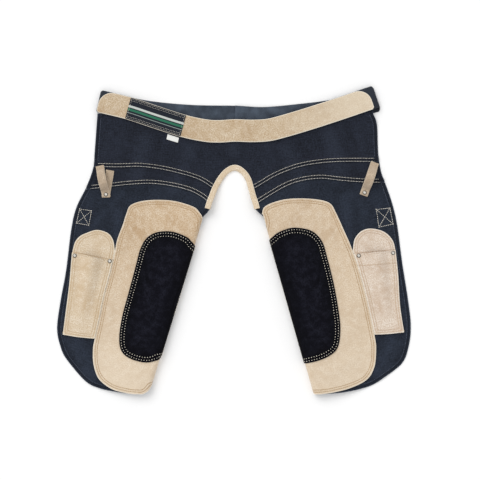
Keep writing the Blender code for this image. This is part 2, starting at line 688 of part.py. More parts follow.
def make_loop(loop):
    """A strip that lies on the denim, turns back at its foot under the rivet and arches up."""
    rivet = np.array(loop.rivet, dtype=float)
    front_way = np.array(loop.front_end, dtype=float) - rivet
    back_way = np.array(loop.back_end, dtype=float) - rivet
    front_length = np.linalg.norm(front_way)
    back_length = np.linalg.norm(back_way)
    front_way /= front_length
    back_way /= back_length
    low = ON_DENIM + SUEDE / 2
    high = low + SUEDE + GAP
    top_end = high if loop.stacked else low
    half = LOOP_WIDTH / 2
    rings = []

    def ring(spot, way, height, slope, outer):
        across = np.array((way[1], -way[0])) * half
        outward = Vector((*(-way * math.sin(slope)), math.cos(slope))) * (outer * SUEDE / 2)
        for side, face in ((1, -1), (1, 1), (-1, 1), (-1, -1)):
            yield Vector((*(spot + across * side), height)) + outward * face

    for reach in np.linspace(back_length, LOOP_TURN - LOOP_END, 6):
        rings.append(list(ring(rivet + back_way * reach, back_way, low, 0, -1)))
    turn_way = (front_way + back_way) / np.linalg.norm(front_way + back_way)
    radius = (high - low) / 2
    for angle in (-45, 0, 45):
        angle = math.radians(angle)
        spot = rivet + turn_way * (LOOP_TURN - LOOP_END - radius * math.cos(angle))
        height = (low + high) / 2 + radius * math.sin(angle)
        rings.append(list(ring(spot, turn_way, height, math.pi / 2 - angle, 1)))
    arch_start, arch_end = LOOP_FLAT, front_length - LOOP_FLAT
    reaches = [LOOP_TURN - LOOP_END, 0, LOOP_FLAT / 2]
    reaches += list(np.linspace(arch_start, arch_end, 16))
    reaches += [front_length - LOOP_FLAT / 2, front_length]

    def arch_height(reach):
        share = min(max((reach - arch_start) / (arch_end - arch_start), 0), 1)
        ground = high + (top_end - high) * smooth_step(share)
        return ground + LOOP_HEIGHT * math.sin(math.pi * share) ** ARCH_SHAPE

    for reach in reaches:
        rise = arch_height(reach + 0.5) - arch_height(reach - 0.5)
        slope = math.atan(rise)
        rings.append(list(ring(rivet + front_way * reach, front_way, arch_height(reach), slope, 1)))
    loft(loop.name, rings, LOOP_SUEDE)
    make_rivet(loop.name.replace("hammer", "rivet"), loop.rivet, high + SUEDE / 2 + GAP)


# Rivets

def make_rivet(name, spot, height):
    """A domed cap, turned from its profile."""
    profile = [(0, RIVET_HEIGHT), (0.5, 0.94 * RIVET_HEIGHT), (0.85, 0.65 * RIVET_HEIGHT),
               (1, 0.25 * RIVET_HEIGHT), (1, 0), (0, 0)]
    bm = bmesh.new()
    verts = [bm.verts.new((share * RIVET_RADIUS * MM, 0, rise * MM)) for share, rise in profile]
    for start, end in zip(verts, verts[1:]):
        bm.edges.new((start, end))
    mesh = bpy.data.meshes.new(name)
    bm.to_mesh(mesh)
    bm.free()
    mesh.materials.append(finish_material(name, ANTIQUE_NICKEL))
    rivet = bpy.data.objects.new(name, mesh)
    APRON.objects.link(rivet)
    rivet.location = (spot[0] * MM, spot[1] * MM, height * MM)
    turned = rivet.modifiers.new("turned", "SCREW")
    turned.steps = turned.render_steps = 16
    turned.use_merge_vertices = True
    turned.merge_threshold = 0.00001


def make_pocket_rivets():
    for name, spot in POCKET_RIVETS.items():
        make_rivet(name, spot, under_side(*spot) + ON_PANEL + SUEDE + GAP)


APRON = set_up_scene()
TORSO = TorsoForm()
FORMS = {"left": LegForm(LEFT), "right": LegForm(RIGHT)}
make_denim(TORSO, FORMS)
make_leg_suede(FORMS)
make_pocket("left", FORMS["left"], POCKET_TOP_LEFT, MOUTH_LEFT, POCKET_SIDE_LEFT,
            POCKET_FOOT_LEFT, POCKET_EDGE_LEFT)
make_pocket("right", FORMS["right"], POCKET_TOP_RIGHT, MOUTH_RIGHT, POCKET_SIDE_RIGHT,
            POCKET_FOOT_RIGHT, POCKET_EDGE_RIGHT)
make_strap()
make_belt_covers()
cloth_piece("size_tab", outline(*zip(SIZE_TAB, SIZE_TAB[1:])), TORSO, ON_DENIM, LABEL,
            WHITE_RIBBON)
make_binding()
for each in LOOPS:
    make_loop(each)
make_pocket_rivets()
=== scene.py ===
"""A farrier's apron laid out flat, front side up.

Patterns are in millimetres: +x to the right, +y towards the belt, and z up from the floor.
"""

import math
from collections import namedtuple

import bmesh
import bpy
import numpy as np
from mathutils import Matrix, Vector
from mathutils.geometry import delaunay_2d_cdt


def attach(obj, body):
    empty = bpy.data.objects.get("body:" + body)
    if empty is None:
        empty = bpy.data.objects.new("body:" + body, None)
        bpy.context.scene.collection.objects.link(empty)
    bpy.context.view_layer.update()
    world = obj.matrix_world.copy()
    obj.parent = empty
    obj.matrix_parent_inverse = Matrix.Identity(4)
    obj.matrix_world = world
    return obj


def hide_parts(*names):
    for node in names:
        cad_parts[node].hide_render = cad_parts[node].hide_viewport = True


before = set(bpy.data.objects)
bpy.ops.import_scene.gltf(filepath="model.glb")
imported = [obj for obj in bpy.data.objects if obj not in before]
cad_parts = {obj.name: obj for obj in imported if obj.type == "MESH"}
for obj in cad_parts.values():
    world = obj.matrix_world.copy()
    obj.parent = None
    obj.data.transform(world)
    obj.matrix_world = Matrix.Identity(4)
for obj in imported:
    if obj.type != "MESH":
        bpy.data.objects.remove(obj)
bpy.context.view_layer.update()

# Denim body
#
# Five pieces of stiff indigo twill: a waist yoke, two hip bands and two legs. The outer edges are
# turned and hemmed, and flat felled seams join the pieces, each under two rows of ecru thread.

MM = 0.001
GAP = 0.3
DENIM = 1.3
SUEDE = 1.7
ON_DENIM = DENIM + GAP
ON_PANEL = ON_DENIM + SUEDE + GAP
BELT_WIDTH = 50.0
WEBBING = 2.2
BELT_LAP = 2 * (WEBBING + GAP)
YOKE_IN_BELT = 8.0
WAIST_SLOPE = 62.0
BELT_CLEAR = 30.0
BEND_RADIUS = 6.0
BEND_REACH = BEND_RADIUS + ON_DENIM + SUEDE
BEND_ARC = math.pi * (BEND_RADIUS + DENIM / 2)
FOLD_HEIGHT = BEND_RADIUS + BEND_REACH
FOLD_SLOPE = 130.0
FOLD_STARTS = -90.0
FOLD_FULL = 30.0
BEND_CLOSES = 45.0
BINDING = 1.2
BINDING_GAP = 0.4
BINDING_WIDTH = 11.0
CROTCH_LIFT = BINDING + BINDING_GAP + 0.1
CROTCH_SLOPE = 45.0
SEAM_HALF = 5.0
SEAM_RISE = 1.4
SEAM_SHOULDER = 4.0
HEM_WIDTH = 10.0
HEM_RISE = 0.8
HEM_STEP = 1.8
CLOTH_PITCH = 5.0
EDGE_PITCH = 3.0
RAW_EDGE_CLEAR = 2.5
NET_CLEAR = 0.8
FOLD_NEAR = 3.0
SEAM_ROW = 3.3
HEM_ROW = HEM_WIDTH - 1.5
# How many points of a leg's side its hem row follows, to just short of the foot
HEM_ROW_POINTS = 56

BELT_FRONT = [(-297.5, 304.5), (-232, 289), (-174, 270), (-111, 250), (-64, 240), (-33, 238), (2, 240),
              (40, 239), (75, 241), (112, 250), (175, 269), (242, 291), (280, 304), (313, 315)]
UPPER_SEAM_LEFT = [(-308, 165), (-251, 164), (-207, 165), (-163, 160), (-119, 150), (-75, 136),
                   (-37, 112)]
UPPER_SEAM_RIGHT = [(319, 176), (244, 176), (189, 173), (145, 165), (112, 154), (84, 141),
                    (51, 121), (33, 112)]
LOWER_SEAM_LEFT = [(-325, 115), (-273, 121), (-229, 126), (-185, 128), (-141, 123), (-97, 112),
                   (-68, 97), (-49, 81)]
LOWER_SEAM_RIGHT = [(331, 130), (282, 131), (233, 135), (189, 139), (145, 133), (112, 121),
                    (74, 99), (43, 79)]
YOKE_SIDE_LEFT = [(-299.5, 277.8), (-303, 237), (-306, 198), (-308, 165)]
YOKE_SIDE_RIGHT = [(306, 277), (312.5, 262), (315.5, 242), (317, 198), (319, 176)]
YOKE_CORNER_LEFT = [(-291, 275.9), (-288, 304)]
YOKE_CORNER_RIGHT = [(306, 277), (302, 316)]
HIP_SIDE_LEFT = [(-308, 165), (-314, 143), (-325, 115)]
HIP_SIDE_RIGHT = [(319, 176), (324, 149), (331, 130)]
LEG_SIDE_LEFT = [(-325, 115), (-347, 70), (-358, 22), (-369, -66), (-381, -132), (-389, -194),
                 (-381, -236), (-367, -264), (-329, -308), (-299, -325), (-255, -334), (-213, -338)]
LEG_SIDE_RIGHT = [(331, 130), (348, 81), (359, 33), (370, -49), (383, -132), (389, -187),
                  (385, -231), (370, -271), (328, -304), (297, -322), (244, -334), (189, -338)]
CROTCH_TOP = [(-37, 112), (-26, 132), (-13, 147), (2, 154), (16, 147), (27, 132), (33, 112)]
CROTCH_LEFT = [(-37, 112), (-44, 94), (-49, 81), (-53, 67)]
CROTCH_RIGHT = [(33, 112), (38, 94), (43, 79), (46, 67)]
# Past and down the fold line of each leg
FLAP_LEFT = [(9, -3), (3, 15), (2, 30), (8, 45), (20, 60), (58, 98), (62, 150), (62, 300),
             (56, 362), (30, 388), (0, 406)]
FLAP_RIGHT = [(13, -4), (3, 15), (2, 30), (8, 45), (20, 60), (58, 98), (62, 150), (62, 409)]
HEM_LEFT = [(0, 406), (-5, 418), (-13, 427), (-26, 431)]
HEM_RIGHT = [(62, 409), (0, 421), (-13, 425)]

# Where the cloth keeps a soft ridge: from x, y, to x, y, half width, height. The first rows are
# the broad folds of the pattern, and the rest are the smaller ones beside them.
CREASES = [
    (-3, 208, -1, 193, 26, 2.6),
    (-256, 58, -250, -12, 26, 3.0),
    (246, 92, 250, -4, 26, 3.0),
    (-196, 214, -214, 140, 40, 3.4),
    (-96, 196, -128, 120, 34, 2.4),
    (118, 198, 150, 128, 36, 2.6),
    (214, 222, 232, 150, 42, 3.2),
    (-346, -224, -312, -300, 30, 3.0),
    (350, -222, 318, -290, 30, 3.0),
    (-270, 236, -284, 182, 14, 1.1),
    (-238, 232, -232, 184, 12, 0.8),
    (-152, 216, -160, 176, 13, 1.0),
    (-58, 204, -84, 150, 12, 0.9),
    (-40, 182, -52, 140, 9, 0.7),
    (44, 190, 58, 138, 10, 0.8),
    (72, 206, 98, 158, 13, 0.9),
    (176, 222, 188, 180, 14, 0.9),
    (268, 250, 282, 196, 15, 1.2),
    (-318, 92, -296, 40, 13, 1.0),
    (-286, 60, -276, 30, 9, 0.8),
    (-334, 20, -346, -20, 9, 0.7),
    (276, 66, 286, 24, 10, 0.9),
    (322, 84, 306, 44, 12, 1.0),
    (-352, -236, -336, -262, 11, 0.9),
    (340, -236, 352, -258, 10, 0.8),
    (-330, -282, -296, -304, 12, 0.8),
    (300, -296, 330, -280, 12, 0.9),
    (-214, 62, -168, 40, 20, 1.0),
    (-232, 20, -222, -30, 14, 0.9),
    (-268, -120, -276, -190, 14, 0.8),
    (-272, -250, -228, -292, 24, 1.2),
    (-212, -286, -206, -322, 16, 0.9),
    (-160, -60, -186, -190, 30, 1.3),
    (-214, -100, -226, -180, 16, 0.7),
    (130, 60, 176, 52, 18, 1.0),
    (212, 20, 232, -60, 15, 0.9),
    (252, -120, 268, -190, 14, 0.8),
    (222, -284, 262, -262, 22, 1.1),
    (196, -292, 206, -320, 14, 0.8),
    (140, -60, 176, -190, 30, 1.3),
    (196, -60, 212, -140, 15, 0.7),
]
# Lines painted like a crease where no ridge is built: paler along the middle, partly rubbed indigo and
# partly a painted highlight, with painted shade beside it, in the same columns
RUBBED_AND_PAINTED_LIGHT_LINES = [
    (-304, 34, -243, 106, 15, 2.0),
    (-320, 8, -292, 66, 12, 1.4),
    (-262, 222, -196, 196, 12, 1.2),
    (-120, 226, -84, 176, 14, 1.4),
    (62, 216, 128, 186, 12, 1.2),
    (232, 250, 262, 196, 14, 1.5),
    (-216, 148, -150, 140, 8, 1.0),
    (150, 152, 222, 150, 8, 1.0),
    (252, 110, 292, 58, 15, 1.8),
    (318, 40, 336, -6, 12, 1.4),
    (-372, -214, -330, -290, 13, 1.5),
    (376, -214, 336, -286, 13, 1.5),
]


def smooth_step(value):
    """From 0 to 1 with no corner at either end."""
    value = np.clip(value, 0.0, 1.0)
    return value * value * (3 - 2 * value)


def smooth_run(rows, steps=6):
    """A smooth line through the rows of a table, with steps from row to row."""
    rows = [np.array(row, dtype=float) for row in rows]
    if len(rows) < 3:
        return np.array(rows)
    ends = [2 * rows[0] - rows[1]] + rows + [2 * rows[-1] - rows[-2]]
    line = []
    for before, start, end, after in zip(ends, ends[1:], ends[2:], ends[3:]):
        for step in range(steps):
            t = step / steps
            bend = (2 * before - 5 * start + 4 * end - after) * t * t
            bend += (3 * start - before - 3 * end + after) * t ** 3
            line.append(start + ((end - before) * t + bend) / 2)
    return np.array(line + [rows[-1]])


def outline(*runs):
    """One closed outline from lines that meet end to end."""
    points = np.vstack([smooth_run(run) for run in runs])
    apart = np.linalg.norm(points - np.roll(points, 1, axis=0), axis=1)
    return points[apart > 0.3]


def shifted(run, distance):
    """A line moved sideways, to its left seen along it."""
    along = np.gradient(run, axis=0)
    along /= np.linalg.norm(along, axis=1)[:, None]
    return run + np.column_stack([-along[:, 1], along[:, 0]]) * distance


def distance_to_line(points, line):
    """The least distance from each point to a line of straight stretches."""
    line = np.asarray(line, dtype=float)
    least = np.full(len(points), np.inf)
    for start, span in zip(line, np.diff(line, axis=0)):
        share = np.clip((points - start) @ span / (span @ span), 0, 1)
        least = np.minimum(least, np.linalg.norm(points - start - share[:, None] * span, axis=1))
    return least


class Torso:
    """The yoke and hip bands: pattern places are the floor's x and y."""

    turn = 1.0
    columns = rows = np.arange(-400, 401, CLOTH_PITCH)

    def measure(self, points):
        return points

    def pattern_point(self, spots):
        return spots

    def place(self, spots):
        return np.column_stack([spots, under_side(spots)])

    def lay(self, spots, lift):
        """Points in space at pattern places, raised off the cloth's under side."""
        step = 0.3
        across = self.place(spots + (step, 0)) - self.place(spots - (step, 0))
        along = self.place(spots + (0, step)) - self.place(spots - (0, step))
        upward = np.cross(across, along) * self.turn
        upward /= np.linalg.norm(upward, axis=1)[:, None]
        return self.place(spots) + upward * np.reshape(lift, (-1, 1))


class Leg(Torso):
    """A leg: pattern places are measured out from its fold line and down along it."""

    def __init__(self, top, foot):
        self.top = np.array(top, dtype=float)
        self.down = np.array(foot, dtype=float) - self.top
        self.down /= np.linalg.norm(self.down)
        self.side = math.copysign(1.0, top[0])
        self.turn = -self.side
        self.out = np.array((-self.down[1], self.down[0])) * self.side
        bend = np.linspace(BEND_REACH - BEND_ARC, BEND_REACH, 13)
        flap = np.arange(bend[0] - CLOTH_PITCH, -70, -CLOTH_PITCH)[::-1]
        outer = np.arange(bend[-1] + CLOTH_PITCH / 2, 330, CLOTH_PITCH)
        self.columns = np.concatenate([flap, bend, outer])
        self.rows = np.arange(-100, 480, CLOTH_PITCH)

    def measure(self, points):
        offset = np.asarray(points, dtype=float) - self.top
        return np.column_stack([offset @ self.out, offset @ self.down])

    def pattern_point(self, spots):
        spots = np.asarray(spots, dtype=float)
        return self.top + spots[:, :1] * self.out + spots[:, 1:] * self.down

    def run(self, rows):
        """A table of past and down the fold line, as pattern points."""
        return [tuple(point) for point in self.pattern_point([(-past, down) for past, down in rows])]

    def place(self, spots):
        out, down = spots.T
        reach = np.column_stack([np.maximum(out, -BEND_REACH), down])
        height = under_side(self.pattern_point(reach))
        # The bend opens towards the crotch, where the edge is flat
        closed = smooth_step(down / BEND_CLOSES)
        length = np.maximum(BEND_REACH - out, 0)
        bent = np.minimum(length, BEND_ARC * closed)
        angle = math.pi * bent / BEND_ARC
        straight = length - bent
        turned = BEND_REACH - BEND_RADIUS * np.sin(angle) - straight * np.cos(angle)
        height -= BEND_RADIUS * (1 - np.cos(angle)) + straight * np.sin(angle)
        out = np.where(out < BEND_REACH, turned, out)
        return np.column_stack([self.pattern_point(np.column_stack([out, down])), height])


TORSO = Torso()
LEGS = {"left": Leg((-62, 67), (-178, -312)), "right": Leg((60, 67), (174, -335))}
CROTCH = CROTCH_LEFT[::-1] + CROTCH_TOP[1:-1] + CROTCH_RIGHT
# The folded edge of each felled seam lies on the lower piece, just past the seam
UPPER_EDGES = [shifted(smooth_run(UPPER_SEAM_LEFT), -SEAM_HALF),
               shifted(smooth_run(UPPER_SEAM_RIGHT), SEAM_HALF)]
LOWER_EDGES = [shifted(smooth_run(LOWER_SEAM_LEFT), -SEAM_HALF),
               shifted(smooth_run(LOWER_SEAM_RIGHT), SEAM_HALF)]
SIDES = [smooth_run(YOKE_SIDE_LEFT), smooth_run(HIP_SIDE_LEFT), smooth_run(LEG_SIDE_LEFT),
         smooth_run(YOKE_SIDE_RIGHT), smooth_run(HIP_SIDE_RIGHT), smooth_run(LEG_SIDE_RIGHT)]


def under_side(points):
    """Height of the denim's under side over the floor, before any edge turns under."""
    x, y = np.asarray(points, dtype=float).T
    belt_x, belt_y = zip(*BELT_FRONT)
    below_belt = np.interp(x, belt_x, belt_y) - y - BELT_WIDTH / 2
    height = BELT_LAP * (1 - smooth_step(below_belt / WAIST_SLOPE))
    from_crotch = distance_to_line(points, CROTCH) - BINDING_WIDTH
    height += CROTCH_LIFT * (1 - smooth_step(from_crotch / CROTCH_SLOPE))
    for leg, mine in ((LEGS["left"], x < 0), (LEGS["right"], x >= 0)):
        out, down = leg.measure(points).T
        along_fold = smooth_step((down - FOLD_STARTS) / (FOLD_FULL - FOLD_STARTS))
        height += mine * FOLD_HEIGHT * along_fold * (1 - smooth_step((out - BEND_REACH) / FOLD_SLOPE))
    clear_of_belt = smooth_step(below_belt / BELT_CLEAR)
    for x0, y0, x1, y1, half_width, rise in CREASES:
        away = distance_to_line(points, [(x0, y0), (x1, y1)])
        height += rise * clear_of_belt * (1 - smooth_step(away / half_width))
    return height


def ridge(points, edges):
    """How far the upper piece of a felled seam is lifted by the plies folded inside it."""
    away = np.min([distance_to_line(points, edge) for edge in edges], axis=0)
    return SEAM_RISE * (1 - smooth_step((away - 2 * SEAM_HALF + 1) / SEAM_SHOULDER))


def hem(points):
    """How far the ply turned in at a side edge thickens the denim."""
    away = np.min([distance_to_line(points, side) for side in SIDES], axis=0)
    return HEM_RISE * (1 - smooth_step((away - HEM_WIDTH) / HEM_STEP))


def denim_relief(points):
    """How far hems and felled seams stand over the single denim, for what lies on them."""
    return np.maximum(np.maximum(ridge(points, UPPER_EDGES), ridge(points, LOWER_EDGES)), hem(points))


def creased(points):
    """Paler on the top of each crease, above 0, partly where the indigo has rubbed off and partly a
    painted highlight, and darker in the troughs beside it, below 0, as painted shade.
    """
    wear_and_painted_light = np.zeros(len(points))
    for x0, y0, x1, y1, half_width, rise in CREASES + RUBBED_AND_PAINTED_LIGHT_LINES:
        away = distance_to_line(points, [(x0, y0), (x1, y1)]) / half_width
        wear_and_painted_light += rise / 3 * (np.exp(-(away / 0.4) ** 2) - 0.6 * np.exp(-((away - 0.85) / 0.3) ** 2))
    return np.clip(wear_and_painted_light, -1, 1)


def inside(points, border):
    """Which points lie inside a closed outline."""
    within = np.zeros(len(points), dtype=bool)
    x, y = points.T
    for (x0, y0), (x1, y1) in zip(border, np.roll(border, -1, axis=0)):
        if y0 != y1:
            crosses = (y0 > y) != (y1 > y)
            within ^= crosses & (x < (x1 - x0) * (y - y0) / (y1 - y0) + x0)
    return within


def outward_ways(border):
    """Unit directions out of a closed outline at its points, for one that runs anticlockwise."""
    along = np.roll(border, -1, axis=0) - border
    along /= np.linalg.norm(along, axis=1)[:, None]
    ways = along + np.roll(along, 1, axis=0)
    ways /= np.maximum(np.linalg.norm(ways, axis=1), 0.6)[:, None]
    return np.column_stack([ways[:, 1], -ways[:, 0]])


def cut_flat(form, points, edge_round):
    """The flat cut of a piece: net places, triangles over them, and its rim in order."""
    corners = form.measure(points)
    following = np.roll(corners, -1, axis=0)
    if np.sum(corners[:, 0] * following[:, 1] - corners[:, 1] * following[:, 0]) < 0:
        corners = corners[::-1]
    corners = corners - outward_ways(corners) * (GAP / 2 + edge_round)
    rim = []
    for start, end in zip(corners, np.roll(corners, -1, axis=0)):
        count = max(1, math.ceil(np.linalg.norm(end - start) / EDGE_PITCH))
        rim += [start + (end - start) * step / count for step in range(count)]
    rim = np.array(rim)
    columns, rows = np.meshgrid(form.columns, form.rows, indexing="ij")
    net = np.column_stack([columns.ravel(), rows.ravel()])
    low, high = rim.min(axis=0), rim.max(axis=0)
    net = net[np.all((net > low) & (net < high), axis=1)]
    net = net[inside(net, rim)]
    closed = np.vstack([rim, rim[:1]])
    net = net[distance_to_line(net, closed) > NET_CLEAR]
    places = [Vector(place) for place in np.vstack([rim, net])]
    flat, _, faces, origins, _, _ = delaunay_2d_cdt(places, [], [list(range(len(rim)))], 1, 1e-4)
    flat = np.array([tuple(place) for place in flat])
    found = {first: number for number, firsts in enumerate(origins) for first in firsts}
    return flat, faces, [found[number] for number in range(len(rim))]


def add_mesh(name, points, faces, uv, depth, material):
    """A smooth mesh in metres, with its pattern places as UV and its depth inside the cut edge."""
    mesh = bpy.data.meshes.new(name)
    mesh.from_pydata((np.asarray(points) * MM).tolist(), [], faces)
    layer = mesh.uv_layers.new(name="pattern")
    corners = np.empty(len(mesh.loops), dtype=np.int32)
    mesh.loops.foreach_get("vertex_index", corners)
    layer.data.foreach_set("uv", (np.asarray(uv)[corners] * MM).astype(np.float32).ravel())
    mesh.attributes.new("depth", "FLOAT", "POINT").data.foreach_set("value", depth.astype(np.float32))
    mesh.polygons.foreach_set("use_smooth", np.ones(len(mesh.polygons), dtype=bool))
    mesh.materials.append(material)
    piece = bpy.data.objects.new(name, mesh)
    bpy.context.scene.collection.objects.link(piece)
    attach(piece, "root")
    return piece


def lay_cloth(name, form, points, lift, thickness, material, edge_round=0.5, carried=None, ply=None,
              turned_in=None):
    """Cut a piece, lay it on the form and close its edge.

    carried lifts the whole piece at a pattern point, ply thickens it, and along the line turned_in
    its edge is a fold, so that no raw cut shows there."""
    flat, faces, rim = cut_flat(form, points, edge_round)
    spots = form.pattern_point(flat)
    raised = carried(spots) if carried else np.zeros(len(flat))
    thick = ply(spots) if ply else np.zeros(len(flat))
    low = lift + raised
    high = low + thickness + thick
    border = flat[rim]
    ways = outward_ways(border)
    rings = [form.lay(flat, high), form.lay(flat, low)]
    uv = [flat, flat]
    raw_edge = np.vstack([border, border[:1]])
    if turned_in is not None:
        folded = distance_to_line(form.pattern_point(border), turned_in) < 1
        past_fold = np.flatnonzero(folded & ~np.roll(folded, -1))[0]
        onward = np.roll(np.arange(len(rim)), -past_fold)
        raw_edge = border[onward][~folded[onward]]
    depth = distance_to_line(flat, raw_edge) + edge_round
    depths = [depth, depth]
    for degrees, top in ((50, True), (90, True), (90, False), (50, False)):
        angle = math.radians(degrees)
        drop = edge_round * (1 - math.cos(angle))
        height = high[rim] - drop if top else low[rim] + drop
        rings.append(form.lay(border + ways * edge_round * math.sin(angle), height))
        uv.append(border)
        depths.append(np.zeros(len(rim)))
    depths = np.concatenate(depths)
    if turned_in is not None:
        at = form.pattern_point(np.vstack(uv))
        depths = np.where(distance_to_line(at, turned_in) < FOLD_NEAR, RAW_EDGE_CLEAR, depths)
    count = len(flat)
    starts = [count * 2 + len(rim) * number for number in range(4)]
    order = [rim] + [[start + k for k in range(len(rim))] for start in starts]
    order.append([count + k for k in rim])
    upward = form.turn > 0
    walls = []
    for upper, lower in zip(order, order[1:]):
        for k in range(len(rim)):
            following = (k + 1) % len(rim)
            wall = (upper[k], lower[k], lower[following], upper[following])
            walls.append(wall if upward else wall[::-1])
    tops = []
    for a, b, c in faces:
        (ax, ay), (bx, by), (cx, cy) = flat[a], flat[b], flat[c]
        turning = (bx - ax) * (cy - ay) - (by - ay) * (cx - ax)
        tops.append((a, b, c) if (turning > 0) == upward else (a, c, b))
    bottoms = [(a + count, c + count, b + count) for a, b, c in tops]
    piece = add_mesh(name, np.vstack(rings), tops + bottoms + walls, np.vstack(uv), depths, material)
    # The paler crease tops, partly wear and partly painted highlight, and the painted shade in the troughs
    # beside them, stored as an attribute for the denim's colour
    wear_and_painted_light = creased(form.pattern_point(np.vstack(uv)))
    piece.data.attributes.new("creased", "FLOAT", "POINT").data.foreach_set(
        "value", wear_and_painted_light.astype(np.float32))
    return piece


def declare_sheet(form, points):
    """Work out the flat cut's width and length in metres; nothing is done with them."""
    width, length = np.ptp(form.measure(points), axis=0) * MM


def linear(colour):
    """An sRGB hex colour as linear light."""
    parts = [int(colour[k:k + 2], 16) / 255 for k in (1, 3, 5)]
    return [c / 12.92 if c <= 0.04045 else ((c + 0.055) / 1.055) ** 2.4 for c in parts] + [1.0]


def add_node(tree, kind, inputs=(), **settings):
    """A node with its settings, and each input set to a value or linked to another node."""
    node = tree.nodes.new(kind)
    for name, value in settings.items():
        setattr(node, name, value)
    for socket, value in dict(inputs).items():
        if isinstance(value, bpy.types.NodeSocket):
            tree.links.new(value, node.inputs[socket])
        else:
            node.inputs[socket].default_value = value
    return node


def new_material(name, roughness, **sockets):
    """A material with its shader, and its pattern places in millimetres."""
    material = bpy.data.materials.new(name)
    material.use_nodes = True
    tree = material.node_tree
    shader = tree.nodes["Principled BSDF"]
    shader.inputs["Roughness"].default_value = roughness
    for socket, value in sockets.items():
        shader.inputs[socket.replace("_", " ")].default_value = value
    pattern = add_node(tree, "ShaderNodeUVMap", uv_map="pattern")
    place = add_node(tree, "ShaderNodeVectorMath", {0: pattern.outputs[0], "Scale": 1 / MM},
                     operation="SCALE")
    return material, tree, shader, place.outputs[0]


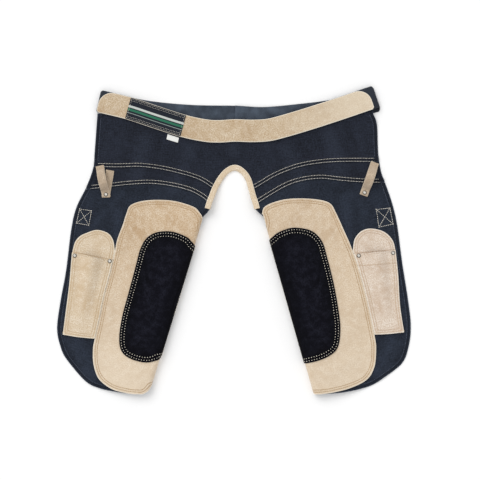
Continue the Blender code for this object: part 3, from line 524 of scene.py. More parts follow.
def indigo_denim(name, indigo, faded, pale):
    """Woven indigo twill: near-black blue, with paler slanting lines, and yarns of uneven depth
    that run up the cloth. Edges and the tops of creases are paler, partly from wear and partly a
    painted highlight, and painted shade darkens the troughs beside the creases and the band between
    the two rows of a seam."""
    # The real twill line is about 0.7 mm wide. It is drawn at 2.2 mm so that it can show at all.
    twill = 2.2
    yarn_width, yarn_length = 1.5, 15.0
    material, tree, shader, place = new_material(name, 0.9, Sheen_Weight=0.04, Sheen_Roughness=0.6,
                                                 Specular_IOR_Level=0.12)
    slant = add_node(tree, "ShaderNodeVectorMath", {0: place, 1: (6.283 / twill, 6.283 / twill, 0)},
                     operation="DOT_PRODUCT")
    lines = add_node(tree, "ShaderNodeMath", {0: slant.outputs["Value"]}, operation="SINE")
    stretched = add_node(tree, "ShaderNodeVectorMath", {0: place, 1: (1 / yarn_width, 1 / yarn_length, 0)},
                         operation="MULTIPLY")
    yarns = add_node(tree, "ShaderNodeTexNoise", {"Vector": stretched.outputs[0], "Scale": 1.0,
                                                  "Detail": 2.0})
    cross = add_node(tree, "ShaderNodeVectorMath", {0: place, 1: (1 / 22, 1 / 1.8, 0)},
                     operation="MULTIPLY")
    wefts = add_node(tree, "ShaderNodeTexNoise", {"Vector": cross.outputs[0], "Scale": 1.0})
    cloudy = add_node(tree, "ShaderNodeTexNoise", {"Vector": place, "Scale": 1 / 60, "Detail": 4.0})
    fuzz = add_node(tree, "ShaderNodeTexNoise", {"Vector": place, "Scale": 1 / 3, "Detail": 3.0})
    grain = add_node(tree, "ShaderNodeMath", {0: lines.outputs[0], 1: 0.08, 2: fuzz.outputs[0]},
                     operation="MULTIPLY_ADD")
    for threads in (yarns, wefts):
        grain = add_node(tree, "ShaderNodeMath", {0: threads.outputs[0], 1: 0.6, 2: grain.outputs[0]},
                         operation="MULTIPLY_ADD")
    shade = add_node(tree, "ShaderNodeMapRange", {"Value": grain.outputs[0], "From Min": 0.84,
                                                  "From Max": 1.36})
    tone = add_node(tree, "ShaderNodeMapRange", {"Value": cloudy.outputs[0], "From Min": 0.38,
                                                 "From Max": 0.7, "To Max": 0.35})
    colour_with_painted_light = add_node(tree, "ShaderNodeMix", {0: shade.outputs[0], 6: linear(indigo), 7: linear(faded)},
                    data_type="RGBA")
    colour_with_painted_light = add_node(tree, "ShaderNodeMix", {0: tone.outputs[0], 6: colour_with_painted_light.outputs[2], 7: linear(faded)},
                    data_type="RGBA")
    depth = add_node(tree, "ShaderNodeAttribute", attribute_name="depth")
    # The edge goes paler: partly edge wear and partly a painted highlight on its rounded edge
    edge = add_node(tree, "ShaderNodeMapRange", {"Value": depth.outputs["Fac"], "From Min": 0.2,
                                                 "From Max": 1.6, "To Min": 0.35, "To Max": 0.0})
    # Crease tops go paler, partly rubbed indigo and partly a painted highlight, and the troughs beside
    # them go darker with painted shade
    creases = add_node(tree, "ShaderNodeAttribute", attribute_name="creased")
    rubbed = add_node(tree, "ShaderNodeMapRange", {"Value": creases.outputs["Fac"], "To Max": 0.06})
    trough_shade = add_node(tree, "ShaderNodeMapRange", {"Value": creases.outputs["Fac"], "From Max": -1.0,
                                                 "To Max": 0.35})
    # Painted shade along the sunk band between the two rows of a felled seam, about the seam's half width
    # in from the folded edge
    off_seam = add_node(tree, "ShaderNodeMath", {0: depth.outputs["Fac"], 1: SEAM_HALF},
                        operation="SUBTRACT")
    off_seam = add_node(tree, "ShaderNodeMath", {0: off_seam.outputs[0]}, operation="ABSOLUTE")
    seam_band_shade = add_node(tree, "ShaderNodeMapRange", {"Value": off_seam.outputs[0], "From Min": 1.0,
                                                 "From Max": 2.6, "To Min": 0.6, "To Max": 0.0})
    for share, tint in ((rubbed, pale), (trough_shade, indigo), (seam_band_shade, indigo)):
        colour_with_painted_light = add_node(tree, "ShaderNodeMix", {0: share.outputs[0], 6: colour_with_painted_light.outputs[2], 7: linear(tint)},
                        data_type="RGBA")
    lint = add_node(tree, "ShaderNodeTexVoronoi", {"Vector": place, "Scale": 1 / 34})
    speck = add_node(tree, "ShaderNodeMath", {0: lint.outputs["Distance"], 1: 0.022},
                     operation="LESS_THAN")
    # Lint specks, and the paler edge, which is partly wear and partly a painted highlight
    wear_and_painted_light = add_node(tree, "ShaderNodeMath", {0: speck.outputs[0], 1: 0.35, 2: edge.outputs[0]},
                    operation="MULTIPLY_ADD", use_clamp=True)
    colour = add_node(tree, "ShaderNodeMix", {0: wear_and_painted_light.outputs[0], 6: colour_with_painted_light.outputs[2], 7: linear(pale)},
                      data_type="RGBA")
    tree.links.new(colour.outputs[2], shader.inputs["Base Color"])
    bump = add_node(tree, "ShaderNodeBump", {"Strength": 0.5, "Distance": 0.0003,
                                             "Height": grain.outputs[0]})
    tree.links.new(bump.outputs[0], shader.inputs["Normal"])
    return material


def stitch_tree():
    """Rows of thread: a small round stitch at every pitch along each line, with its flat side to
    the cloth. The lines carry the cloth's upward direction."""
    tree = bpy.data.node_groups.new("row_of_stitches", "GeometryNodeTree")
    tree.interface.new_socket("Rows", in_out="INPUT", socket_type="NodeSocketGeometry")
    for name, kind, value in (("Pitch", "NodeSocketFloat", 0.0044), ("Length", "NodeSocketFloat", 0.0031),
                              ("Width", "NodeSocketFloat", 0.0009), ("Seed", "NodeSocketInt", 1),
                              ("Thread", "NodeSocketMaterial", None)):
        socket = tree.interface.new_socket(name, in_out="INPUT", socket_type=kind)
        if value is not None:
            socket.default_value = value
    tree.interface.new_socket("Stitches", in_out="OUTPUT", socket_type="NodeSocketGeometry")
    given = add_node(tree, "NodeGroupInput").outputs
    curve = add_node(tree, "GeometryNodeMeshToCurve", {"Mesh": given["Rows"]})
    spaced = add_node(tree, "GeometryNodeResampleCurve", {"Curve": curve.outputs[0],
                                                          "Length": given["Pitch"]}, mode="LENGTH")
    height = add_node(tree, "ShaderNodeMath", {0: given["Width"], 1: 0.8}, operation="MULTIPLY")
    size = add_node(tree, "ShaderNodeCombineXYZ", {0: given["Length"], 1: given["Width"],
                                                   2: height.outputs[0]})
    ball = add_node(tree, "GeometryNodeMeshUVSphere", {"Segments": 6, "Rings": 4, "Radius": 0.5})
    stitch = add_node(tree, "GeometryNodeTransform", {"Geometry": ball.outputs[0],
                                                      "Scale": size.outputs[0]})
    tangent = add_node(tree, "GeometryNodeInputTangent")
    up = add_node(tree, "GeometryNodeInputNamedAttribute", {"Name": "up"}, data_type="FLOAT_VECTOR")
    turned = add_node(tree, "FunctionNodeAlignRotationToVector", {"Vector": tangent.outputs[0]},
                      axis="X")
    turned = add_node(tree, "FunctionNodeAlignRotationToVector",
                      {"Rotation": turned.outputs[0], "Vector": up.outputs[0]},
                      axis="Z", pivot_axis="X")
    uneven = add_node(tree, "FunctionNodeRandomValue", {2: 0.86, 3: 1.12, "Seed": given["Seed"]})
    placed = add_node(tree, "GeometryNodeInstanceOnPoints",
                      {"Points": spaced.outputs[0], "Instance": stitch.outputs[0],
                       "Rotation": turned.outputs[0], "Scale": uneven.outputs[1]})
    real = add_node(tree, "GeometryNodeRealizeInstances", {"Geometry": placed.outputs[0]})
    smooth = add_node(tree, "GeometryNodeSetShadeSmooth", {"Geometry": real.outputs[0]})
    painted = add_node(tree, "GeometryNodeSetMaterial", {"Geometry": smooth.outputs[0],
                                                         "Material": given["Thread"]})
    add_node(tree, "NodeGroupOutput", {0: painted.outputs[0]})
    return tree


STITCHES = stitch_tree()


def grow(name, source, tree, **values):
    """Run a geometry tree on a mesh and keep the result as a plain mesh that rides the body."""
    holder = bpy.data.objects.new(name, source)
    bpy.context.scene.collection.objects.link(holder)
    modifier = holder.modifiers.new("grow", "NODES")
    modifier.node_group = tree
    sockets = {item.name: item.identifier for item in tree.interface.items_tree}
    for socket, value in values.items():
        modifier[sockets[socket]] = value
    result = holder.evaluated_get(bpy.context.evaluated_depsgraph_get())
    mesh = bpy.data.meshes.new_from_object(result)
    holder.modifiers.clear()
    holder.data = mesh
    mesh.name = name
    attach(holder, "root")
    return holder


THREAD_PROUD = 0.12


def sew(name, form, rows, lift, thread, carried=None, Pitch=0.0034, Length=0.0024, Width=0.0010):
    """Sew rows of thread into a piece. The rows are lines on its pattern."""
    points, edges, upward = [], [], []
    for row in rows:
        row = form.measure(np.asarray(row, dtype=float))
        reach = np.concatenate([[0], np.cumsum(np.linalg.norm(np.diff(row, axis=0), axis=1))])
        at = np.linspace(0, reach[-1], max(2, math.ceil(reach[-1] / 2.5)))
        row = np.column_stack([np.interp(at, reach, row[:, 0]), np.interp(at, reach, row[:, 1])])
        raised = lift + THREAD_PROUD + (carried(form.pattern_point(row)) if carried else 0)
        laid = form.lay(row, raised)
        above = form.lay(row, raised + 1.0)
        edges += [(len(points) + k, len(points) + k + 1) for k in range(len(row) - 1)]
        points += (laid * MM).tolist()
        upward += (above - laid).tolist()
    mesh = bpy.data.meshes.new(name)
    mesh.from_pydata(points, edges, [])
    mesh.attributes.new("up", "FLOAT_VECTOR", "POINT").data.foreach_set(
        "vector", np.array(upward, dtype=np.float32).ravel())
    return grow(name, mesh, STITCHES, Thread=thread, Pitch=Pitch, Length=Length, Width=Width)


def spun_thread(name, colour, shade):
    """Bonded polyester thread: matt, with a slightly darker twist."""
    material, tree, shader, _ = new_material(name, 0.75, Sheen_Weight=0.2)
    place = add_node(tree, "ShaderNodeTexCoord")
    twist = add_node(tree, "ShaderNodeTexNoise", {"Vector": place.outputs["Object"], "Scale": 900.0})
    mixed = add_node(tree, "ShaderNodeMix", {0: twist.outputs[0], 6: linear(colour), 7: linear(shade)},
                     data_type="RGBA")
    tree.links.new(mixed.outputs[2], shader.inputs["Base Color"])
    return material


DARK_DENIM = indigo_denim("indigo_twill_denim", "#0E1016", "#2A2F3C", "#505A6C")
# The legs' denim: the yoke's twill painted paler and bluer, a painted highlight for where the legs tilt to
# the light
LIT_LEG_DENIM = indigo_denim("faded_twill_denim", "#10131A", "#2D3441", "#56627A")
ECRU_THREAD = spun_thread("ecru_spun_thread", "#F6F1E6", "#D3CBBB")
NAVY_THREAD = spun_thread("navy_spun_thread", "#59647A", "#3A4356")

belt_edge = [(x, y + YOKE_IN_BELT) for x, y in BELT_FRONT[1:-1]]
yoke_top = [YOKE_CORNER_LEFT[1]] + belt_edge + [YOKE_CORNER_RIGHT[1]]
YOKE = outline(YOKE_CORNER_LEFT, yoke_top, YOKE_CORNER_RIGHT[::-1], YOKE_SIDE_RIGHT,
               UPPER_EDGES[1][::6], CROTCH_TOP[::-1], UPPER_EDGES[0][::-6], YOKE_SIDE_LEFT[::-1])
yoke = lay_cloth("yoke_cloth", TORSO, YOKE, 0, DENIM, DARK_DENIM,
                 carried=lambda spots: ridge(spots, UPPER_EDGES), ply=hem)
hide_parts("waist_yoke")
seam_rows = [shifted(smooth_run(seam), side * SEAM_ROW)
             for seam in (UPPER_SEAM_LEFT, UPPER_SEAM_RIGHT) for side in (1, -1)]
yoke_stitches = sew("yoke_seam_stitches", TORSO, seam_rows, DENIM, ECRU_THREAD, denim_relief,
                    Width=0.0012)
side_rows = [shifted(smooth_run(YOKE_SIDE_LEFT), HEM_ROW),
             shifted(smooth_run(YOKE_SIDE_RIGHT), -HEM_ROW)]
yoke_hems = sew("yoke_hem_stitches", TORSO, side_rows, DENIM, NAVY_THREAD, denim_relief)
declare_sheet(TORSO, YOKE)

HIPS = {
    "left": (UPPER_SEAM_LEFT, CROTCH_LEFT[:3], LOWER_EDGES[0][::-6], HIP_SIDE_LEFT[::-1]),
    "right": (UPPER_SEAM_RIGHT, CROTCH_RIGHT[:3], LOWER_EDGES[1][::-6], HIP_SIDE_RIGHT[::-1]),
}
for side, runs in HIPS.items():
    hip = lay_cloth(f"hip_cloth_{side}", TORSO, outline(*runs), 0, DENIM, DARK_DENIM,
                    carried=lambda spots: ridge(spots, LOWER_EDGES), ply=hem)
    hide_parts(f"hip_band_{side}")
    seam = LOWER_SEAM_LEFT if side == "left" else LOWER_SEAM_RIGHT
    hip_rows = [shifted(smooth_run(seam), SEAM_ROW), shifted(smooth_run(seam), -SEAM_ROW)]
    hip_stitches = sew(f"hip_seam_stitches_{side}", TORSO, hip_rows, DENIM, ECRU_THREAD, denim_relief,
                       Width=0.0013)
    declare_sheet(TORSO, outline(*runs))

# Each leg, with a crossed box of thread where a leg strap is sewn on behind
LEG_CUTS = {
    "left": (LOWER_SEAM_LEFT, CROTCH_LEFT[2:], LEGS["left"].run(FLAP_LEFT),
             LEGS["left"].run(HEM_LEFT), LEG_SIDE_LEFT[::-1]),
    "right": (LOWER_SEAM_RIGHT, CROTCH_RIGHT[2:], LEGS["right"].run(FLAP_RIGHT),
              LEGS["right"].run(HEM_RIGHT), LEG_SIDE_RIGHT[::-1]),
}
STRAP_BOXES = {
    "left": [(-339, 68), (-313, 64), (-319, 32), (-346, 37)],
    "right": [(313, 67), (343, 70), (350, 35), (319, 28)],
}
for side, runs in LEG_CUTS.items():
    leg_points = outline(*runs)
    cloth = lay_cloth(f"leg_cloth_{side}", LEGS[side], leg_points, 0, DENIM, LIT_LEG_DENIM, ply=hem)
    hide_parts(f"leg_{side}")
    a, b, c, d = STRAP_BOXES[side]
    leg_stitches = sew(f"strap_box_stitches_{side}", LEGS[side], [[a, b, c, d, a], [a, c], [b, d]],
                       DENIM, ECRU_THREAD, denim_relief, Pitch=0.0040, Length=0.0032, Width=0.0013)
    outer = LEG_SIDE_LEFT if side == "left" else LEG_SIDE_RIGHT
    inward = 1 if side == "left" else -1
    hem_row = shifted(smooth_run(outer), inward * HEM_ROW)[:HEM_ROW_POINTS]
    leg_hems = sew(f"leg_hem_stitches_{side}", LEGS[side], [hem_row], DENIM, NAVY_THREAD, denim_relief)
    declare_sheet(LEGS[side], leg_points)


# Leg panels
#
# A panel of thick split suede on the front of each leg. It is sewn on with two rows of thread in
# its own colour, and turns under with the denim at the leg's inner edge.

POCKET_EDGE_LEFT = [(-261, -23), (-272, -71), (-285, -120), (-297, -178), (-306, -217)]
POCKET_EDGE_RIGHT = [(261, -23), (275, -66), (291, -126), (303, -180), (309, -208)]
PANEL_TOP_LEFT = [(-261, -23), (-255, 4), (-244, 35), (-237, 57), (-226, 77), (-191, 87),
                  (-136, 86), (-90, 73), (-75, 60), (-66, 42)]
PANEL_TOP_RIGHT = [(261, -23), (244, 17), (225, 59), (209, 82), (172, 90), (123, 90), (90, 83),
                   (67, 72), (61, 58)]
PANEL_FOOT_LEFT = [(-306, -217), (-310, -240), (-309, -273), (-297, -305), (-268, -327),
                   (-233, -336), (-213, -338)]
PANEL_FOOT_RIGHT = [(309, -208), (313, -238), (309, -280), (291, -308), (255, -325), (218, -334),
                    (189, -338)]
SUEDE_INSIDE_FLAP = 2.0
SUEDE_EDGE = 0.35
SUNK_THREAD = 0.1
PANEL_ROWS = (5.0, 9.5)


def split_suede(name, deep, base, pale, cut_edge, shaded_furrows=(), fade=None, bump=0.6, sheen=0.22,
                specular=0.15, shade_lines=(), rim=0.0):
    """Split suede: a matt, furry nap that brushes lighter and darker in soft clouds, with a pale
    raw edge where it is cut.

    The furrow distances are how far inside the edge rows of thread press a furrow, and each
    furrow is darkened with painted shade. fade is an axis of the pattern, the two places on it where
    the suede begins to get paler and is palest, and by how much. Each of the shade lines is two
    points of a line darkened with painted shade, and rim is how much of the deep colour has gathered
    towards the edges."""
    # Nap lies in tufts of about 1 mm, drawn at 2.6 mm so that they show, in brushed patches of
    # 14 mm, over tones of 60 mm. A furrow is 1.8 mm wide.
    material, tree, shader, place = new_material(name, 0.95, Sheen_Weight=sheen, Sheen_Roughness=0.7,
                                                 Specular_IOR_Level=specular)
    tufts = add_node(tree, "ShaderNodeTexNoise", {"Vector": place, "Scale": 1 / 2.6, "Detail": 3.0})
    brushed = add_node(tree, "ShaderNodeTexNoise", {"Vector": place, "Scale": 1 / 14, "Detail": 5.0,
                                                    "Distortion": 0.3})
    tones = add_node(tree, "ShaderNodeTexNoise", {"Vector": place, "Scale": 1 / 60, "Detail": 3.0})
    dark = add_node(tree, "ShaderNodeMapRange", {"Value": tones.outputs[0], "From Min": 0.45,
                                                 "From Max": 0.70, "To Max": 0.7})
    light = add_node(tree, "ShaderNodeMapRange", {"Value": brushed.outputs[0], "From Min": 0.42,
                                                  "From Max": 0.72, "To Max": 0.7})
    fine = add_node(tree, "ShaderNodeMapRange", {"Value": tufts.outputs[0], "From Min": 0.36,
                                                 "From Max": 0.64, "To Max": 0.75})
    toned = add_node(tree, "ShaderNodeMix", {0: dark.outputs[0], 6: linear(base), 7: linear(deep)},
                     data_type="RGBA")
    napped = add_node(tree, "ShaderNodeMix", {0: light.outputs[0], 6: toned.outputs[2], 7: linear(pale)},
                      data_type="RGBA")
    flecked = add_node(tree, "ShaderNodeMix", {0: fine.outputs[0], 6: napped.outputs[2],
                                               7: linear(deep)}, data_type="RGBA")
    depth = add_node(tree, "ShaderNodeAttribute", attribute_name="depth")
    edge = add_node(tree, "ShaderNodeMapRange", {"Value": depth.outputs["Fac"], "From Min": 0.4,
                                                 "From Max": 1.5, "To Min": 0.8, "To Max": 0.0})
    relief = add_node(tree, "ShaderNodeMath", {0: brushed.outputs[0], 1: 0.8, 2: tufts.outputs[0]},
                      operation="MULTIPLY_ADD")
    split = add_node(tree, "ShaderNodeSeparateXYZ", {0: place})
    if fade is not None:
        axis, begins, ends, share = fade
        paler = add_node(tree, "ShaderNodeMapRange", {"Value": split.outputs[axis], "From Min": begins,
                                                      "From Max": ends, "To Max": share})
        flecked = add_node(tree, "ShaderNodeMix", {0: paler.outputs[0], 6: flecked.outputs[2],
                                                   7: linear(pale)}, data_type="RGBA")
    gathered = add_node(tree, "ShaderNodeMapRange", {"Value": depth.outputs["Fac"], "From Min": 10.0,
                                                     "From Max": 36.0, "To Min": rim, "To Max": 0.0})
    flecked = add_node(tree, "ShaderNodeMix", {0: gathered.outputs[0], 6: flecked.outputs[2],
                                               7: linear(deep)}, data_type="RGBA")
    # Painted shade: each furrow that a row of thread presses, and each shade line, is darkened towards the
    # deep colour
    lines = [(depth.outputs["Fac"], far) for far in shaded_furrows]
    for fold in shade_lines:
        start, end = np.asarray(fold, dtype=float)
        square = np.array([start[1] - end[1], end[0] - start[0]]) / np.linalg.norm(end - start)
        off_shade_line = add_node(tree, "ShaderNodeVectorMath", {0: place, 1: (*square, 0.0)},
                            operation="DOT_PRODUCT")
        lines.append((off_shade_line.outputs["Value"], float(square @ start)))
    for spot, far in lines:
        line_shade = add_node(tree, "ShaderNodeMath", {0: spot, 1: far, 2: 0.9}, operation="COMPARE")
        share = add_node(tree, "ShaderNodeMath", {0: line_shade.outputs[0], 1: tufts.outputs[0]},
                         operation="MULTIPLY")
        share = add_node(tree, "ShaderNodeMath", {0: share.outputs[0], 1: 1.6}, operation="MULTIPLY")
        flecked = add_node(tree, "ShaderNodeMix", {0: share.outputs[0], 6: flecked.outputs[2],
                                                   7: linear(deep)}, data_type="RGBA")
        relief = add_node(tree, "ShaderNodeMath", {0: line_shade.outputs[0], 1: -1.0,
                                                   2: relief.outputs[0]}, operation="MULTIPLY_ADD")
    colour = add_node(tree, "ShaderNodeMix", {0: edge.outputs[0], 6: flecked.outputs[2],
                                              7: linear(cut_edge)}, data_type="RGBA")
    tree.links.new(colour.outputs[2], shader.inputs["Base Color"])
    nap = add_node(tree, "ShaderNodeBump", {"Strength": bump, "Distance": 0.0005,
                                            "Height": relief.outputs[0]})
    tree.links.new(nap.outputs[0], shader.inputs["Normal"])
    return material


BUFF_SUEDE = {side: split_suede(f"buff_split_suede_{side}", "#AD8D67", "#D2BDA1", "#E7DAC6", "#F2E9D9",
                                PANEL_ROWS, (1, begins, ends, 0.5))
              for side, begins, ends in (("left", 80, 400), ("right", -200, 480))}
SUEDE_THREAD = spun_thread("buff_spun_thread", "#DFCCAB", "#C6AE88")

for side, leg in LEGS.items():
    if side == "left":
        top, pocket_edge, foot = PANEL_TOP_LEFT, POCKET_EDGE_LEFT, PANEL_FOOT_LEFT
        flap = [(past - SUEDE_INSIDE_FLAP, down) for past, down in FLAP_LEFT[3:]]
        inner = leg.run([(2, 26), (2, 33)] + flap[:-1] + FLAP_LEFT[-1:])
        hem_run = leg.run(HEM_LEFT)
        inward = 1
    else:
        top, pocket_edge, foot = PANEL_TOP_RIGHT, POCKET_EDGE_RIGHT, PANEL_FOOT_RIGHT
        flap = [(past - SUEDE_INSIDE_FLAP, down) for past, down in FLAP_RIGHT[3:]]
        inner = leg.run([(0, 10), (0, 30)] + flap)
        hem_run = leg.run([(60, 409)] + HEM_RIGHT[1:])
        inward = -1
    panel_points = outline(top, inner, hem_run, foot[::-1], pocket_edge[::-1])
    panel = lay_cloth(f"leg_panel_suede_{side}", leg, panel_points, ON_DENIM, SUEDE,
                      BUFF_SUEDE[side], edge_round=SUEDE_EDGE, carried=denim_relief)
    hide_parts(f"leg_panel_{side}")
    outer_run = smooth_run(top[::-1] + pocket_edge[1:] + foot[1:])
    rows = [shifted(outer_run, inward * far) for far in PANEL_ROWS]
    panel_stitches = sew(f"leg_panel_stitches_{side}", leg, rows, ON_DENIM + SUEDE - SUNK_THREAD,
                         SUEDE_THREAD, denim_relief, Pitch=0.0050, Length=0.0026)
    declare_sheet(leg, panel_points)


# Knee patches
#
# A long patch of black split suede on each leg panel, where the hoof is held. Two rows of cream
# thread go round it, and it turns a little way under with the panel.

PATCH_TOP_LEFT = [(-213, -49), (-205, -20), (-191, 4), (-167, 17), (-134, 18), (-103, 6.5),
                  (-93, -3), (-87, -13)]
PATCH_TOP_RIGHT = [(203, -33), (194, -5), (176, 16), (152, 25), (123, 26), (96, 16), (84, 5.5),
                   (78, -2)]
PATCH_OUT_LEFT = [(-213, -49), (-229, -110), (-244, -165), (-251, -211), (-247, -242),
                  (-229, -259), (-196, -268), (-171, -264), (-157, -252)]
PATCH_OUT_RIGHT = [(203, -33), (218, -93), (229, -154), (233, -198), (227, -236), (207, -255),
                   (178, -266), (151, -271)]
PATCH_IN_LEFT = [(0, 84), (5, 91), (6.3, 120), (6, 165), (4, 195), (4, 225), (6, 260), (6.3, 315),
                 (2, 333)]
PATCH_IN_RIGHT = [(2, 71), (6, 80), (6.3, 150), (5, 190), (5, 225), (6.3, 265), (6.3, 335),
                  (3, 350)]

# The rows of thread, in from the patch's edge, and in from the edge that turns under
PATCH_ROWS = [(4.6, 2.2), (11.0, 4.6)]
# The steepest that a row may run on to the fold line
ROW_SLOPE = 0.7

BLACK_SUEDE = split_suede("black_split_suede", "#06060A", "#13131C", "#282935", "#1A1A22",
                          [far for far, _ in PATCH_ROWS], bump=0.5, sheen=0.01, specular=0.05,
                          rim=0.75)
CREAM_THREAD = spun_thread("cream_spun_thread", "#F8F2E2", "#DCD3BF")

for side, leg in LEGS.items():
    if side == "left":
        top, outer, inner, inward = PATCH_TOP_LEFT, PATCH_OUT_LEFT, PATCH_IN_LEFT, 1
    else:
        top, outer, inner, inward = PATCH_TOP_RIGHT, PATCH_OUT_RIGHT, PATCH_IN_RIGHT, -1
    patch_points = outline(top, leg.run(inner), outer[::-1])
    patch = lay_cloth(f"knee_patch_suede_{side}", leg, patch_points, ON_PANEL, SUEDE, BLACK_SUEDE,
                      edge_round=SUEDE_EDGE)
    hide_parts(f"knee_patch_{side}")
    around = smooth_run(top[::-1] + outer[1:])
    rows = []
    for far, inner_far in PATCH_ROWS:
        row = shifted(around, inward * far)
        row = row[leg.measure(row)[:, 0] > far]
        # Each end goes straight on to the fold line
        ends = []
        for last, before in ((0, 3), (-1, -4)):
            (out, down), (out_before, down_before) = leg.measure(row[[last, before]])
            slope = (down - down_before) / max(out_before - out, 0.1)
            ends.append(down + np.clip(slope, -ROW_SLOPE, ROW_SLOPE) * out)
        top_meet, foot_meet = leg.run([(0.5, ends[0]), (0.5, ends[1])])
        turned = smooth_run(leg.run([(past - inner_far, down) for past, down in inner[1:-1]]))
        turned_down = leg.measure(turned)[:, 1]
        turned = turned[(turned_down > ends[0] + 2) & (turned_down < ends[1] - 2)]
        rows.append(np.vstack([row, [foot_meet], turned[::-1], [top_meet], row[:1]]))
    patch_stitches = sew(f"knee_patch_stitches_{side}", leg, rows, ON_PANEL + SUEDE, CREAM_THREAD,
                         Pitch=0.0058, Length=0.0022, Width=0.0015)
    declare_sheet(leg, patch_points)


# Pockets
#
# A suede pocket on the outside of each leg: a flat back with a rounded top, and a front with a
# turned hem at its mouth, sewn down its sides and foot, that has been worn into a bulge.

POCKET_TOP_LEFT = [(-356, -31), (-353, -18), (-348.5, -4), (-338, 8.5), (-325, 15), (-301, 22),
                   (-277, 15), (-265, 0), (-261, -23)]
POCKET_TOP_RIGHT = [(356, -27), (349, -1), (330, 18), (302, 25), (281, 20), (265, 2), (261, -23)]
MOUTH_LEFT = [(-355.5, -27.5), (-328, -32.5), (-295, -39.3), (-266, -41)]
MOUTH_RIGHT = [(355, -22), (330, -23.5), (300, -27.5), (264, -28.5)]
POCKET_SIDE_LEFT = [(-356, -31), (-362, -99), (-369, -154), (-376, -208)]
POCKET_SIDE_RIGHT = [(356, -27), (361, -77), (365, -143), (374, -203)]
POCKET_FOOT_LEFT = [(-376, -208), (-343, -214), (-306, -217)]
POCKET_FOOT_RIGHT = [(374, -203), (343, -207), (309, -208)]
POCKET_BULGE = 15.0
POCKET_SEAM = 18.0
BULGE_SHAPE = 1.3
MOUTH_HEM = 29.0
MOUTH_HEM_RISE = 0.7
POCKET_ROWS = (4.0, 9.0)
FOOT_ROW = 4.5
MOUTH_HEM_ROW = 2.5

HEM_LINES = {"left": shifted(smooth_run(MOUTH_LEFT), -MOUTH_HEM),
             "right": shifted(smooth_run(MOUTH_RIGHT), MOUTH_HEM)}
# Lines just above the mouths, darkened on the backs with painted shade, as in the pocket's opening
MOUTH_PAINTED_SHADE_LINES = {"left": [(-342, -28.9), (-294, -38.6)], "right": [(300, -26.6), (350, -21.6)]}
# The pocket suedes carry lines of painted shade: above each mouth, and on the right front along the step
# where the mouth's hem ends
POCKET_SUEDE = split_suede("pocket_split_suede", "#BFA582", "#DDCEB7", "#EADFCE", "#F2EADA", POCKET_ROWS,
                           shade_lines=[LEGS["left"].measure(MOUTH_PAINTED_SHADE_LINES["left"])])
ROSY_SUEDE = split_suede("rosy_split_suede", "#BEA58D", "#E1D4C5", "#EFE6DB", "#F3ECDF", POCKET_ROWS,
                         shade_lines=[LEGS["right"].measure(line) for line in
                                (HEM_LINES["right"][[0, -1]], MOUTH_PAINTED_SHADE_LINES["right"])])
POCKETS = {
    "left": (POCKET_TOP_LEFT, MOUTH_LEFT, POCKET_SIDE_LEFT, POCKET_FOOT_LEFT, POCKET_EDGE_LEFT,
             POCKET_SUEDE),
    "right": (POCKET_TOP_RIGHT, MOUTH_RIGHT, POCKET_SIDE_RIGHT, POCKET_FOOT_RIGHT,
              POCKET_EDGE_RIGHT, ROSY_SUEDE),
}


def pocket_bulge(mouth, outer, foot, inner):
    """How far the front stands off: nothing at the sewn sides and foot, most at the mouth."""
    outer_y, outer_x = zip(*sorted((y, x) for x, y in outer))
    inner_y, inner_x = zip(*sorted((y, x) for x, y in inner))
    mouth_y = np.mean([y for _, y in mouth])
    foot_y = np.mean([y for _, y in foot])

    def bulge(spots):
        x, y = spots.T
        near_outer = np.abs(x - np.interp(y, outer_y, outer_x)) - POCKET_SEAM
        near_inner = np.abs(x - np.interp(y, inner_y, inner_x)) - POCKET_SEAM
        free = (near_outer > 0) & (near_inner > 0)
        across = np.where(free, near_outer / np.maximum(near_outer + near_inner, 1e-3), 0)
        down = np.clip((mouth_y - y) / (mouth_y - foot_y), 0, 1)
        swell = np.sin(math.pi * across) * (1 - down)
        return POCKET_BULGE * np.maximum(swell, 0) ** BULGE_SHAPE + denim_relief(spots)
    return bulge


